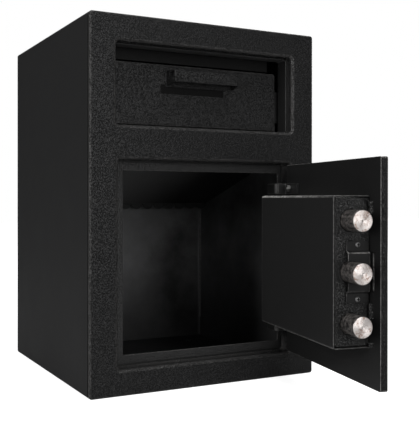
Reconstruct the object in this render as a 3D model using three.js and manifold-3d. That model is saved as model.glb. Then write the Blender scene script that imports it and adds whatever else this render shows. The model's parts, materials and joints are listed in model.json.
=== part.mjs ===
// A free-standing drop safe: a sheet steel cabinet with a tilting deposit drawer above
// and a hinged door with three round bolts below. Millimetres, +Z up, the front faces -Y,
// and the origin is the centre of the cabinet's underside. The door stands open.

import * as THREE from 'three';
import { mergeVertices } from 'three/addons/utils/BufferGeometryUtils.js';
import Module from 'manifold-3d';

const wasm = await Module();
wasm.setup();

// Cabinet. Its width and height follow from the door, the openings and their margins.
const bodyDepth = 355.6;
const wall = 3.2;
const bodyCorner = 4;
const anchorHoleRadius = 6.5;
const anchorHoleInset = 52;

// Pressed front, with its margins round the two openings
const frontSheet = 2.5;
const rimDepth = 8;
const rimRadius = 2.5;
const lipRadius = 4.5;
const openingCorner = 5;
const lowerSideMargin = 40.3;
const upperSideMargin = 37.8;
const bottomMargin = 35.5;
const middleBand = 46;
const upperOpeningHeight = 111.4;
const topMargin = 35.8;
const upperReturnDepth = 37;

// Liner sleeve inside the upper opening's return
const linerSheet = 1.2;
const linerSetback = 14.8;
const linerLength = 21;

// Stop frame that the closed door lies against
const stopRecess = 24;
const stopSheet = 3;
const stopEnd = 14;
const stopFreeSide = 16.5;
const stopHingeSide = 7;
const stopLap = 26;
const stopGrooveWidth = 2.2;
const stopGrooveDepth = 2;

// Running and seating clearances, and how far a cut runs past a face
const seatGap = 0.3;
const pinClearance = 0.35;
const cutOverrun = 6;
const seamOverlap = 0.3;

// Door
const doorSideGap = 5.5;
const doorEndGap = 2.75;
const doorThickness = 9.5;
const doorChamfer = 0.8;
const doorStopGap = 0.5;
const doorOpenAngle = 79.4;

// Hinges: the axis is hidden beside the opening, behind the front sheet
const hingeBesideOpening = 8;
const hingeBehindFront = 11.8;
const hingePinRadius = 3;
const hingePinHeadRadius = 4.6;
const hingePinHead = 1.6;
const knuckleRadius = 5.2;
const armThickness = 4;
const armHeight = 15;
const armBesideBox = 3;
const doorAboveArm = 27.2;
const doorBelowArm = 29.6;
const armFootLength = 40;
const armEdgeInset = 2;
const armReach = 16.5;
const armReturn = 33;
const armBend = 3.5;
const armSlotClearance = 1.5;
const armSlotWidth = 28;
const armSlotDepth = 18.7;
const armNutInset = 17.5;
const armNutRadius = 5.4;
const armNutHeight = 4.6;
const armStudRadius = 3;
const armStudEnd = 1.2;
const earThickness = 3;
const earReach = 15.5;
const earWidth = 11;
const earClearance = 0.4;
const hingeWebThickness = 2.4;
const hingeWebWidth = 20;

// Boltwork box on the inside of the door
const boxFreeMargin = 24;
const boxHingeMargin = 19.5;
const boxEndMargin = 29.5;
const boxDepth = 48;
const coverSheet = 1.5;
const coverCorner = 3;
const boltPlateThickness = 5;
const boltPlateRecess = 1.5;
const boltPlateCorner = 2;
const guidePlateThickness = 3;
const guidePlateSpacing = 18;

// Three live bolts, carried together by one bar
const boltRadius = 12.7;
const boltPitch = 61;
const boltAxisDepth = 25.3;
const boltThrow = 30;
const boltLength = 72;
const boltChamfer = 1.2;
const boltStroke = 22;
const boltBoreClearance = 0.5;
const carrierThickness = 8;
const carrierWidth = 24;
const carrierEndLap = 16;
const boltScrewRadius = 6;
const boltScrewHead = 4;
const tailThickness = 4;
const tailHeight = 30;
const tailMargin = 8;
const tailOffset = 9;

// Strap round the middle bolt, its screws, and the tab beside it
const strapThickness = 2;
const strapRise = 4.5;
const strapWidth = 28.5;
const strapLength = 73;
const strapRaisedLength = 49;
const strapFreeEdge = 31.2;
const strapScrewSpread = 64.4;
const tabThickness = 2;
const tabHeight = 47;
const tabWidth = 12.5;

// Screws of the strap and the lock
const strapScrewHeadRadius = 3.2;
const lockScrewHeadRadius = 4;
const screwHead = 2.4;
const screwShankRadius = 2;
const screwHoleClearance = 0.35;
const screwSlotShare = 0.22;

// Handle, its shaft and the crank that drives the bolts
const handleFromFreeEdge = 112.5;
const handleToDial = 71;
const handleTurnAngle = 90;
const shaftRadius = 5;
const bushWall = 1.6;
const crankHubRadius = 8.5;
const crankEndRadius = 5.5;
const crankThickness = 6;
const crankFromDoor = 22;
const crankPinRadius = 3;
const crankSlotClearance = 0.75;
const crankPinLength = 11;
const escutcheonRadius = 24;
const escutcheonThickness = 3;
const hubRadius = 14;
const hubLength = 18;
const leverLength = 96;
const leverRootWidth = 24;
const leverTipWidth = 15;
const leverThickness = 10;
const leverBevel = 2.5;

// Combination dial and the lock behind it
const dialFromHingeEdge = 80.5;
const dialRise = 31.5;
const dialRingRadius = 40;
const dialRingWidth = 7;
const dialRingHeight = 9;
const dialRadius = 32;
const dialThickness = 6;
const dialRimHeight = 2.5;
const dialGripRadius = 15;
const dialGripLength = 17;
const dialGripFluteCount = 18;
const dialGripFluteShare = 0.06;
const dialStandoff = 2.5;
const spindleRadius = 4;
const lockWidth = 64;
const lockHeight = 85;
const lockDepth = 26;
const lockCorner = 4;
const lockSpindleFromTop = 46;
const lockScrewInset = 8;
const lockBoltWidth = 14;
const lockBoltThickness = 9;
const lockBoltReach = 4;

// Keeper behind the stop frame, which the thrown bolts bear on
const keeperThickness = 8.2;
const keeperWidth = 15;
const keeperEndLap = 17;

// Deposit drawer: a face and a bin that tilt out on a rod along the bottom edge
const faceRecess = 35.8;
const faceThickness = 4;
const faceSideGap = 7;
const faceTopGap = 20.2;
const faceBottomGap = 4.8;
const faceCorner = 2.5;
const pivotAboveSill = 9.4;
const pivotBehindFace = 8;
const rodRadius = 3;
const rodOverhang = 3;
const clipRadius = 6;
const clipThickness = 1.2;
const binSheet = 2;
const binSideInset = 3;
const binRadius = 79;
const binLugRadius = 6.2;
const troughSheet = 1.5;
const troughAngle = 20;
const troughRise = 9;
const troughFlange = 12;
const troughBend = 3;
const drawerOpenAngle = 48;
const stopPinRadius = 2.5;
const stopPinOrbit = 58;
const stopPinRestAngle = 15;
const stopPinLength = 8;

// Side brackets of the drawer, each with an arc slot for the stop pin
const bracketSheet = 2.5;
const bracketFaceGap = 0.7;
const bracketDrop = 14;
const bracketTopMargin = 9;
const bracketRearMargin = 9;
const bracketFlangeRise = 8;
const bushEndGap = 0.3;
const drawerBushWall = 2;

// Drawer pull: a hood, open below
const pullWidth = 108;
const pullOffset = 4;
const pullTaper = 3;
const pullHeight = 20.4;
const pullUnderSlope = 3.6;
const pullProjection = 22;
const pullSheet = 1.8;
const pullCorner = 3;
const pullBelowFaceTop = 9.2;

// Sloping chute with its scalloped rear edge, and the plate above the drawer
const chuteSheet = 1.5;
const chuteBelowSill = 10.8;
const chuteDrop = 95;
const chuteRearGap = 27;
const chuteSideFlange = 18;
const chuteFrontFlange = 14;
const lobePitch = 21.8;
const lobeDepth = 11;
const baffleSheet = 1.5;
const baffleBehindFace = 7;
const baffleSideGap = 2.3;
const baffleAboveFace = 4;
const baffleFlange = 20;
const baffleBend = 3;

// Facets of round shapes
const cornerSteps = 3;
const roundSteps = 18;
const hexSides = 6;
const boltSteps = 32;
const dialSteps = 32;
const arcSteps = 5;
const lobeSteps = 3;

// Sizes and places worked out from those above
const doorWidth = handleFromFreeEdge + handleToDial + dialFromHingeEdge;
const boxHeight = 2 * (boltPitch + boxEndMargin);
const armSpread = boxHeight + 2 * armBesideBox + armHeight;
const doorHeight = armSpread + armHeight + doorAboveArm + doorBelowArm;
const lowerOpeningWidth = doorWidth + 2 * doorSideGap;
const lowerOpeningHeight = doorHeight + 2 * doorEndGap;
const bodyWidth = lowerOpeningWidth + 2 * lowerSideMargin;
const bodyHeight = bottomMargin + lowerOpeningHeight + middleBand + upperOpeningHeight + topMargin;
const upperOpeningWidth = bodyWidth - 2 * upperSideMargin;
const halfWidth = bodyWidth / 2;
const innerX = halfWidth - wall;
const frontY = -bodyDepth / 2;
const rearY = bodyDepth / 2;
const rearInnerY = rearY - wall;
const shellFrontY = frontY + rimDepth + seatGap;
const ceilingZ = bodyHeight - wall;
const upperHalf = upperOpeningWidth / 2;
const lowerHalf = lowerOpeningWidth / 2;
const upperSillZ = bodyHeight - topMargin - upperOpeningHeight;
const upperHeadZ = bodyHeight - topMargin;
const lowerHeadZ = upperSillZ - middleBand;
const stopY = frontY + stopRecess;
const doorHalf = doorWidth / 2;
const doorLowZ = bottomMargin + doorEndGap;
const doorHighZ = doorLowZ + doorHeight;
const workZ = doorLowZ + doorBelowArm + (armHeight + armSpread) / 2;
const doorInnerY = stopY - doorStopGap;
const doorOuterY = doorInnerY - doorThickness;
const hingeX = lowerHalf + hingeBesideOpening;
const hingeY = frontY + hingeBehindFront;
const degrees = Math.PI / 180;

// Turns a closed mesh into a solid that can be cut and joined.
function solidOf(geometry) {
  const plain = geometry.clone();
  plain.deleteAttribute('normal');
  plain.deleteAttribute('uv');
  const merged = mergeVertices(plain);
  const mesh = new wasm.Mesh({
    numProp: 3,
    vertProperties: new Float32Array(merged.attributes.position.array),
    triVerts: new Uint32Array(merged.index.array),
  });
  return new wasm.Manifold(mesh);
}

function geometryOf(solid) {
  const mesh = solid.getMesh();
  const geometry = new THREE.BufferGeometry();
  geometry.setAttribute('position', new THREE.BufferAttribute(mesh.vertProperties, 3));
  geometry.setIndex(new THREE.BufferAttribute(mesh.triVerts, 1));
  return geometry;
}

function joined(...geometries) {
  const solids = geometries.map(solidOf);
  return geometryOf(solids.reduce((sum, next) => sum.add(next)));
}

function cut(base, ...tools) {
  const start = solidOf(base);
  return geometryOf(tools.map(solidOf).reduce((rest, tool) => rest.subtract(tool), start));
}

function common(a, b) {
  return geometryOf(solidOf(a).intersect(solidOf(b)));
}

// Flat outlines. An outline's first axis and second axis become the two named row axes.
function rectangle(u0, u1, v0, v1) {
  const shape = new THREE.Shape();
  shape.moveTo(u0, v0);
  shape.lineTo(u1, v0);
  shape.lineTo(u1, v1);
  shape.lineTo(u0, v1);
  shape.closePath();
  return shape;
}

function roundedRectangle(u0, u1, v0, v1, radius, kind = THREE.Shape) {
  const shape = new kind();
  shape.moveTo(u0 + radius, v0);
  shape.lineTo(u1 - radius, v0);
  shape.absarc(u1 - radius, v0 + radius, radius, -Math.PI / 2, 0, false);
  shape.lineTo(u1, v1 - radius);
  shape.absarc(u1 - radius, v1 - radius, radius, 0, Math.PI / 2, false);
  shape.lineTo(u0 + radius, v1);
  shape.absarc(u0 + radius, v1 - radius, radius, Math.PI / 2, Math.PI, false);
  shape.lineTo(u0, v0 + radius);
  shape.absarc(u0 + radius, v0 + radius, radius, Math.PI, Math.PI * 1.5, false);
  return shape;
}

function ringPoints(u, v, radius, steps) {
  const points = [];
  for (let i = 0; i < steps; i += 1) {
    const angle = (i / steps) * Math.PI * 2;
    points.push(new THREE.Vector2(u + radius * Math.cos(angle), v + radius * Math.sin(angle)));
  }
  return points;
}

function disc(u, v, radius) {
  return new THREE.Shape(ringPoints(u, v, radius, roundSteps));
}

// A hole's flats, not its corners, stand at its radius, so a round bar fits it.
function roundHole(u, v, radius, steps = roundSteps) {
  return new THREE.Path(ringPoints(u, v, radius / Math.cos(Math.PI / steps), steps));
}

// A link with round ends of two sizes.
function link([u0, v0, end0], [u1, v1, end1]) {
  const along = Math.atan2(v1 - v0, u1 - u0);
  const shape = new THREE.Shape();
  shape.absarc(u0, v0, end0, along + Math.PI / 2, along + Math.PI * 1.5, false);
  shape.absarc(u1, v1, end1, along - Math.PI / 2, along + Math.PI / 2, false);
  shape.closePath();
  return shape;
}

// The outline of a flat bar bent along a line of points, with a round bend at each corner.
function bentStrip(points, thickness, bend) {
  const line = [];
  points.forEach(([u, v], i) => {
    if (i === 0 || i === points.length - 1) {
      line.push([u, v]);
      return;
    }
    const before = new THREE.Vector2(points[i - 1][0] - u, points[i - 1][1] - v);
    const after = new THREE.Vector2(points[i + 1][0] - u, points[i + 1][1] - v);
    before.normalize();
    after.normalize();
    const half = Math.acos(THREE.MathUtils.clamp(before.dot(after), -1, 1)) / 2;
    const toTangent = bend / Math.tan(half);
    const toCentre = bend / Math.sin(half);
    const middle = before.clone().add(after).normalize();
    const centre = [u + middle.x * toCentre, v + middle.y * toCentre];
    const start = Math.atan2(v + before.y * toTangent - centre[1], u + before.x * toTangent - centre[0]);
    const end = Math.atan2(v + after.y * toTangent - centre[1], u + after.x * toTangent - centre[0]);
    const sweep = THREE.MathUtils.euclideanModulo(end - start + Math.PI, Math.PI * 2) - Math.PI;
    for (let step = 0; step <= cornerSteps; step += 1) {
      const angle = start + (sweep * step) / cornerSteps;
      line.push([centre[0] + bend * Math.cos(angle), centre[1] + bend * Math.sin(angle)]);
    }
  });
  const left = [];
  const right = [];
  line.forEach(([u, v], i) => {
    const previous = line[Math.max(i - 1, 0)];
    const next = line[Math.min(i + 1, line.length - 1)];
    const along = new THREE.Vector2(next[0] - previous[0], next[1] - previous[1]).normalize();
    const side = thickness / 2;
    left.push(new THREE.Vector2(u - along.y * side, v + along.x * side));
    right.push(new THREE.Vector2(u + along.y * side, v - along.x * side));
  });
  return new THREE.Shape([...left, ...right.reverse()]);
}

// Plates: an outline in X and Z, in Y and Z, or in X and Y, carried between two places.
function extruded(shape, length, options) {
  return new THREE.ExtrudeGeometry(shape, {
    depth: length,
    bevelEnabled: false,
    curveSegments: arcSteps,
    ...options,
  });
}

function plateXZ(shape, y0, y1, options = {}) {
  const plate = extruded(shape, y1 - y0, options);
  plate.rotateX(Math.PI / 2);
  return plate.translate(0, y1, 0);
}

function plateYZ(shape, x0, x1, options = {}) {
  const plate = extruded(shape, x1 - x0, options);
  const basis = new THREE.Matrix4();
  basis.makeBasis(new THREE.Vector3(0, 1, 0), new THREE.Vector3(0, 0, 1), new THREE.Vector3(1, 0, 0));
  plate.applyMatrix4(basis);
  return plate.translate(x0, 0, 0);
}

function plateXY(shape, z0, z1, options = {}) {
  return extruded(shape, z1 - z0, options).translate(0, 0, z0);
}

function block(x0, x1, y0, y1, z0, z1) {
  const box = new THREE.BoxGeometry(x1 - x0, y1 - y0, z1 - z0);
  return box.translate((x0 + x1) / 2, (y0 + y1) / 2, (z0 + z1) / 2);
}

// Round bars along a row axis, and turned pieces from a profile of radius and place.
function barX(radius, x0, x1, y, z, steps = roundSteps) {
  const bar = new THREE.CylinderGeometry(radius, radius, x1 - x0, steps);
  bar.rotateZ(Math.PI / 2);
  return bar.translate((x0 + x1) / 2, y, z);
}

function barY(radius, y0, y1, x, z, steps = roundSteps) {
  const bar = new THREE.CylinderGeometry(radius, radius, y1 - y0, steps);
  return bar.translate(x, (y0 + y1) / 2, z);
}

function barZ(radius, z0, z1, x, y, steps = roundSteps) {
  const bar = new THREE.CylinderGeometry(radius, radius, z1 - z0, steps);
  bar.rotateX(Math.PI / 2);
  return bar.translate(x, y, (z0 + z1) / 2);
}

function turned(profile, steps) {
  return new THREE.LatheGeometry(profile.map(([radius, place]) => new THREE.Vector2(radius, place)), steps);
}

// A pressed edge: a closed sheet profile carried round a rounded rectangle. Each profile
// point is an offset from the outline, outwards, and a depth along Y.
function pressedEdge(u0, u1, v0, v1, radius, profile) {
  const positions = [];
  const loopLength = 4 * (cornerSteps + 1);
  const corners = [
    [u1, v0, -Math.PI / 2, -1, 1],
    [u1, v1, 0, -1, -1],
    [u0, v1, Math.PI / 2, 1, -1],
    [u0, v0, Math.PI, 1, 1],
  ];
  profile.forEach(([offset, depth]) => {
    corners.forEach(([u, v, turn, toU, toV]) => {
      for (let step = 0; step <= cornerSteps; step += 1) {
        const angle = turn + (Math.PI / 2) * (step / cornerSteps);
        const reach = radius + offset;
        positions.push(
          u + toU * radius + reach * Math.cos(angle),
          depth,
          v + toV * radius + reach * Math.sin(angle),
        );
      }
    });
  });
  const indices = [];
  for (let i = 0; i < profile.length; i += 1) {
    const nextRing = (i + 1) % profile.length;
    for (let j = 0; j < loopLength; j += 1) {
      const nextPoint = (j + 1) % loopLength;
      const a = i * loopLength + j;
      const b = i * loopLength + nextPoint;
      const c = nextRing * loopLength + nextPoint;
      const d = nextRing * loopLength + j;
      indices.push(a, c, b, a, d, c);
    }
  }
  const geometry = new THREE.BufferGeometry();
  geometry.setAttribute('position', new THREE.Float32BufferAttribute(positions, 3));
  geometry.setIndex(indices);
  return geometry;
}

// A quarter round of sheet from the front plane into a straight return. side is 1 where
// the return stands inside the outline, as in an opening, and -1 at the outer rim.
function sheetProfile(radius, returnEndY, side) {
  const points = [];
  for (let step = 0; step <= cornerSteps; step += 1) {
    const angle = (Math.PI / 2) * (step / cornerSteps);
    points.push([side * (radius - radius * Math.sin(angle)), frontY + radius - radius * Math.cos(angle)]);
  }
  points.push([0, returnEndY], [side * frontSheet, returnEndY]);
  const inner = Math.max(radius - frontSheet, 0);
  for (let step = cornerSteps; step >= 0; step -= 1) {
    const angle = (Math.PI / 2) * (step / cornerSteps);
    points.push([side * (radius - inner * Math.sin(angle)), frontY + radius - inner * Math.cos(angle)]);
  }
  const closed = points.filter((point, i) => {
    const next = points[(i + 1) % points.length];
    return Math.hypot(point[0] - next[0], point[1] - next[1]) > 0;
  });
  return side > 0 ? closed.reverse() : closed;
}

// A pan-head screw standing on a face at the origin, its shank along -Y and its head
// along +Y, with a slot across the head.
function screwGeometry(shankLength, headRadius) {
  const body = turned([
    [0, -shankLength],
    [screwShankRadius, -shankLength],
    [screwShankRadius, 0],
    [headRadius, 0],
    [headRadius, screwHead / 2],
    [headRadius / 2, screwHead],
    [0, screwHead],
  ], roundSteps / 2);
  const slotHalf = headRadius * screwSlotShare / 2;
  const slot = block(-slotHalf, slotHalf, screwHead / 2, screwHead + cutOverrun, -cutOverrun, cutOverrun);
  return cut(body, slot);
}

// Puts a Y-pointing piece on a place with its head along the given direction.
function pointed(geometry, direction, x, y, z) {
  const turn = new THREE.Quaternion();
  turn.setFromUnitVectors(new THREE.Vector3(0, 1, 0), direction);
  geometry.applyQuaternion(turn);
  return geometry.translate(x, y, z);
}

const safe = new THREE.Group();

function add(parent, name, geometry, finish) {
  const material = new THREE.MeshStandardMaterial(finish);
  const mesh = new THREE.Mesh(geometry, material);
  mesh.name = name;
  parent.add(mesh);
}

const texturedBlack = { color: 0x1b1b1c, roughness: 0.55, metalness: 0.25 };
const satinBlack = { color: 0x141415, roughness: 0.42, metalness: 0.25 };
const brightSteel = { color: 0xb9b9b6, roughness: 0.25, metalness: 1 };
const plainSteel = { color: 0x7c7c7a, roughness: 0.4, metalness: 0.9 };
const zinc = { color: 0x9a9a98, roughness: 0.35, metalness: 0.9 };
const satinNickel = { color: 0xa6a4a0, roughness: 0.3, metalness: 0.95 };
const dialBlack = { color: 0x101011, roughness: 0.35, metalness: 0.1 };
const brass = { color: 0xb08d57, roughness: 0.35, metalness: 0.9 };

// Cabinet shell, with four anchor holes in its floor
function bodyShell() {
  const outline = roundedRectangle(-halfWidth, halfWidth, 0, bodyHeight, bodyCorner);
  const innerCorner = Math.max(bodyCorner - wall, wall / 2);
  outline.holes.push(roundedRectangle(-innerX, innerX, wall, ceilingZ, innerCorner, THREE.Path));
  const tube = plateXZ(outline, shellFrontY, rearY);
  const reach = halfWidth - anchorHoleInset;
  const holes = [];
  [-reach, reach].forEach((x) => {
    [frontY + anchorHoleInset, rearY - anchorHoleInset].forEach((y) => {
      holes.push(barZ(anchorHoleRadius, -cutOverrun, wall + cutOverrun, x, y, boltSteps / 2));
    });
  });
  return cut(tube, ...holes);
}
add(safe, 'body_shell', bodyShell(), satinBlack);

function backPanel() {
  const edge = innerX - seatGap;
  const corner = Math.max(bodyCorner - wall, wall / 2);
  const outline = roundedRectangle(-edge, edge, wall + seatGap, ceilingZ - seatGap, corner);
  return plateXZ(outline, rearInnerY, rearY);
}
add(safe, 'back_panel', backPanel(), satinBlack);

// The arms of the hinges pass through slots in the right return and the stop frame.
const armLevels = [workZ + armSpread / 2, workZ - armSpread / 2];

function armSlots(x0, x1, y0, y1) {
  const half = armHeight / 2 + armSlotClearance;
  return armLevels.map((z) => block(x0, x1, y0, y1, z - half, z + half));
}

// Front pressing: one sheet with a turned rim and a rounded return in each opening
function frontFrame() {
  const inset = rimRadius - seamOverlap;
  const past = lipRadius - seamOverlap;
  const sheet = roundedRectangle(
    -halfWidth + inset,
    halfWidth - inset,
    inset,
    bodyHeight - inset,
    bodyCorner - inset,
  );
  const openings = [
    [lowerHalf, bottomMargin, lowerHeadZ, stopY - seatGap],
    [upperHalf, upperSillZ, upperHeadZ, frontY + upperReturnDepth],
  ];
  openings.forEach(([half, low, high]) => {
    sheet.holes.push(roundedRectangle(
      -half - past,
      half + past,
      low - past,
      high + past,
      openingCorner + past,
      THREE.Path,
    ));
  });
  const flat = plateXZ(sheet, frontY, frontY + frontSheet, { curveSegments: cornerSteps });
  const rim = pressedEdge(
    -halfWidth,
    halfWidth,
    0,
    bodyHeight,
    bodyCorner,
    sheetProfile(rimRadius, frontY + rimDepth, -1),
  );
  const returns = openings.map(([half, low, high, endY]) => pressedEdge(
    -half,
    half,
    low,
    high,
    openingCorner,
    sheetProfile(lipRadius, endY, 1),
  ));
  const slots = armSlots(
    lowerHalf - cutOverrun,
    lowerHalf + frontSheet + cutOverrun / 2,
    stopY - armSlotDepth,
    stopY + cutOverrun,
  );
  return cut(joined(flat, rim, ...returns), ...slots);
}
add(safe, 'front_frame', frontFrame(), texturedBlack);

// Sleeve that lines the upper opening, set back from the front edge
function drawerLiner() {
  const outer = roundedRectangle(
    -upperHalf + seatGap,
    upperHalf - seatGap,
    upperSillZ + seatGap,
    upperHeadZ - seatGap,
    openingCorner - seatGap,
  );
  const inset = seatGap + linerSheet;
  outer.holes.push(roundedRectangle(
    -upperHalf + inset,
    upperHalf - inset,
    upperSillZ + inset,
    upperHeadZ - inset,
    openingCorner - inset,
    THREE.Path,
  ));
  const y0 = frontY + linerSetback;
  return plateXZ(outer, y0, y0 + linerLength, { curveSegments: cornerSteps });
}
add(safe, 'drawer_liner', drawerLiner(), satinBlack);

// Stop frame behind the lower opening
const stopLeftX = -lowerHalf + stopFreeSide;
const stopRightX = lowerHalf - stopHingeSide;
function doorStopFrame() {
  const outer = lowerHalf + stopLap;
  const outline = rectangle(-outer, outer, bottomMargin - stopLap, lowerHeadZ + stopLap);
  const window = roundedRectangle(
    stopLeftX,
    stopRightX,
    bottomMargin + stopEnd,
    lowerHeadZ - stopEnd,
    openingCorner / 2,
    THREE.Path,
  );
  outline.holes.push(window);
  const plate = plateXZ(outline, stopY, stopY + stopSheet);
  const slots = armSlots(
    stopRightX - cutOverrun,
    stopRightX + armSlotWidth,
    stopY - cutOverrun,
    stopY + stopSheet + cutOverrun,
  );
  return cut(plate, stopGroove(), ...slots);
}

// A shallow groove parts the stop's face from the return all round
function stopGroove() {
  const outer = roundedRectangle(-lowerHalf, lowerHalf, bottomMargin, lowerHeadZ, openingCorner);
  outer.holes.push(roundedRectangle(
    -lowerHalf + stopGrooveWidth,
    lowerHalf - stopGrooveWidth,
    bottomMargin + stopGrooveWidth,
    lowerHeadZ - stopGrooveWidth,
    openingCorner - stopGrooveWidth,
    THREE.Path,
  ));
  return plateXZ(outer, stopY - cutOverrun, stopY + stopGrooveDepth, { curveSegments: cornerSteps });
}
add(safe, 'door_stop_frame', doorStopFrame(), texturedBlack);

// Keeper bar behind the free side of the stop frame
function keeperBar() {
  const y0 = stopY + stopSheet + seatGap;
  const outline = roundedRectangle(
    stopLeftX - seatGap - keeperWidth,
    stopLeftX - seatGap,
    workZ - boltPitch - keeperEndLap,
    workZ + boltPitch + keeperEndLap,
    openingCorner / 2,
  );
  return plateXZ(outline, y0, y0 + keeperThickness);
}
add(safe, 'bolt_keeper', keeperBar(), satinBlack);

// Fixed half of each hinge: a web behind the front sheet with an ear above and below
const earX = lowerHalf + frontSheet + seatGap;
const webX = lowerHalf + lipRadius + seatGap;
const webY = frontY + frontSheet + seatGap;
function hingeBracket(level) {
  const earFace = armHeight / 2 + earClearance;
  const top = level + earFace + earThickness;
  const bottom = level - earFace - earThickness;
  const web = block(webX, webX + hingeWebWidth, webY, webY + hingeWebThickness, bottom, top);
  const ear = roundedRectangle(earX, earX + earWidth, webY, webY + earReach, earThickness);
  const ears = [top - earThickness, bottom].map((z) => plateXY(ear, z, z + earThickness));
  const bore = barZ(hingePinRadius + pinClearance, bottom - cutOverrun, top + cutOverrun, hingeX, hingeY);
  return cut(joined(web, ...ears), bore);
}

function hingePin(level) {
  const top = level + armHeight / 2 + earClearance + earThickness + seatGap;
  const bottom = level - armHeight / 2 - earClearance - earThickness;
  const pin = turned([
    [0, bottom],
    [hingePinRadius, bottom],
    [hingePinRadius, top],
    [hingePinHeadRadius, top],
    [hingePinHeadRadius, top + hingePinHead],
    [0, top + hingePinHead],
  ], roundSteps);
  pin.rotateX(Math.PI / 2);
  return pin.translate(hingeX, hingeY, 0);
}

const levelNames = ['upper', 'lower'];
armLevels.forEach((level, i) => {
  add(safe, `hinge_bracket_${levelNames[i]}`, hingeBracket(level), satinBlack);
  add(safe, `hinge_pin_${levelNames[i]}`, hingePin(level), zinc);
});

// Sloping chute, drawn flat and then tilted. Its rear edge turns down into a lip that is
// cut into a row of round lobes.
const chuteFrontY = stopY + stopSheet + seatGap;
const chuteFrontZ = upperSillZ - chuteBelowSill;
const chuteRun = rearInnerY - chuteRearGap - chuteFrontY;
const chuteLength = Math.hypot(chuteRun, chuteDrop);
const chuteEdge = innerX - seatGap;
function scallopedLip() {
  const lobes = Math.max(Math.round((2 * chuteEdge) / lobePitch), 1);
  const pitch = (2 * chuteEdge) / lobes;
  const cuspZ = chuteFrontZ - chuteDrop;
  const outline = new THREE.Shape();
  outline.moveTo(chuteEdge, cuspZ);
  outline.lineTo(chuteEdge, cuspZ + chuteSheet);
  outline.lineTo(-chuteEdge, cuspZ + chuteSheet);
  outline.lineTo(-chuteEdge, cuspZ);
  for (let i = 0; i < lobes; i += 1) {
    const centre = pitch * (i + 1 / 2) - chuteEdge;
    outline.absellipse(centre, cuspZ, pitch / 2, lobeDepth, Math.PI, Math.PI * 2, false);
  }
  const y = chuteFrontY + chuteRun;
  return plateXZ(outline, y - chuteSheet, y, { curveSegments: lobeSteps });
}

function chutePlate() {
  const sheet = block(-chuteEdge, chuteEdge, 0, chuteLength, 0, chuteSheet);
  const flanges = [-chuteEdge, chuteEdge - chuteSheet].map((x) => block(
    x,
    x + chuteSheet,
    0,
    chuteLength,
    chuteSheet / 2,
    chuteSideFlange,
  ));
  const slope = joined(sheet, ...flanges);
  slope.rotateX(-Math.atan2(chuteDrop, chuteRun));
  slope.translate(0, chuteFrontY, chuteFrontZ);
  const front = block(
    -chuteEdge,
    chuteEdge,
    chuteFrontY,
    chuteFrontY + chuteSheet,
    chuteFrontZ - chuteFrontFlange,
    chuteFrontZ + chuteSheet / 2,
  );
  return joined(slope, front, scallopedLip());
}
add(safe, 'chute_plate', chutePlate(), satinBlack);

// Places of the deposit drawer
const faceOuterY = frontY + faceRecess;
const faceInnerY = faceOuterY + faceThickness;
const faceHalf = upperHalf - faceSideGap;
const faceTopZ = upperHeadZ - faceTopGap;
const faceBottomZ = upperSillZ + faceBottomGap;
const pivotY = faceInnerY + pivotBehindFace;
const pivotZ = upperSillZ + pivotAboveSill;
const binOuterX = faceHalf - binSideInset;
const binInnerX = binOuterX - binSheet;
const bracketX = faceHalf + bracketFaceGap;
const rodBore = rodRadius + pinClearance;

// Plate that hangs behind the gap above the drawer, so nothing can be fished out
function antiFishPlate() {
  const half = binInnerX - baffleSideGap;
  const y = faceInnerY + baffleBehindFace;
  const top = ceilingZ - seatGap - baffleSheet / 2;
  const section = bentStrip([
    [y, faceTopZ + baffleAboveFace],
    [y, top],
    [y + baffleFlange, top],
  ], baffleSheet, baffleBend);
  return plateYZ(section, -half, half);
}
add(safe, 'anti_fish_plate', antiFishPlate(), satinBlack);

// Side bracket: a plate beside the bin, flanged out to the cabinet's side wall
function drawerBracket(side) {
  const rear = pivotY + stopPinOrbit + bracketRearMargin;
  const endAngle = (stopPinRestAngle + drawerOpenAngle) * degrees;
  const top = pivotZ + stopPinOrbit * Math.sin(endAngle) + bracketTopMargin;
  const front = faceInnerY + seatGap;
  const outline = roundedRectangle(front, rear, pivotZ - bracketDrop, top, openingCorner);
  outline.holes.push(roundHole(pivotY, pivotZ, rodBore));
  const slot = new THREE.Path();
  const slotHalf = stopPinRadius + pinClearance;
  const start = stopPinRestAngle * degrees;
  const turnAt = (angle) => [pivotY + stopPinOrbit * Math.cos(angle), pivotZ + stopPinOrbit * Math.sin(angle)];
  slot.absarc(pivotY, pivotZ, stopPinOrbit + slotHalf, start, endAngle, false);
  slot.absarc(...turnAt(endAngle), slotHalf, endAngle, endAngle + Math.PI, false);
  slot.absarc(pivotY, pivotZ, stopPinOrbit - slotHalf, endAngle, start, true);
  slot.absarc(...turnAt(start), slotHalf, start + Math.PI, start + Math.PI * 2, false);
  outline.holes.push(slot);
  const plate = plateYZ(outline, bracketX, bracketX + bracketSheet);
  const flange = block(
    bracketX + bracketSheet / 2,
    innerX - seatGap,
    front,
    front + bracketSheet,
    pivotZ + bracketFlangeRise,
    top - openingCorner,
  );
  return mirrored(joined(plate, flange), side);
}

// Mirrors a piece across X = 0 for the left side and keeps its faces pointing out.
function mirrored(geometry, side) {
  return side > 0 ? geometry : geometryOf(solidOf(geometry).mirror([1, 0, 0]));
}

const sides = [[-1, 'left'], [1, 'right']];
sides.forEach(([side, name]) => {
  add(safe, `drawer_bracket_${name}`, drawerBracket(side), satinBlack);
});

const rodEndX = bracketX + bracketSheet + rodOverhang;
add(safe, 'drawer_hinge_rod', barX(rodRadius, -rodEndX, rodEndX, pivotY, pivotZ), zinc);

function rodRing(outer, x0, x1) {
  const outline = disc(pivotY, pivotZ, outer);
  outline.holes.push(roundHole(pivotY, pivotZ, rodBore));
  return plateYZ(outline, x0, x1);
}

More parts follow.
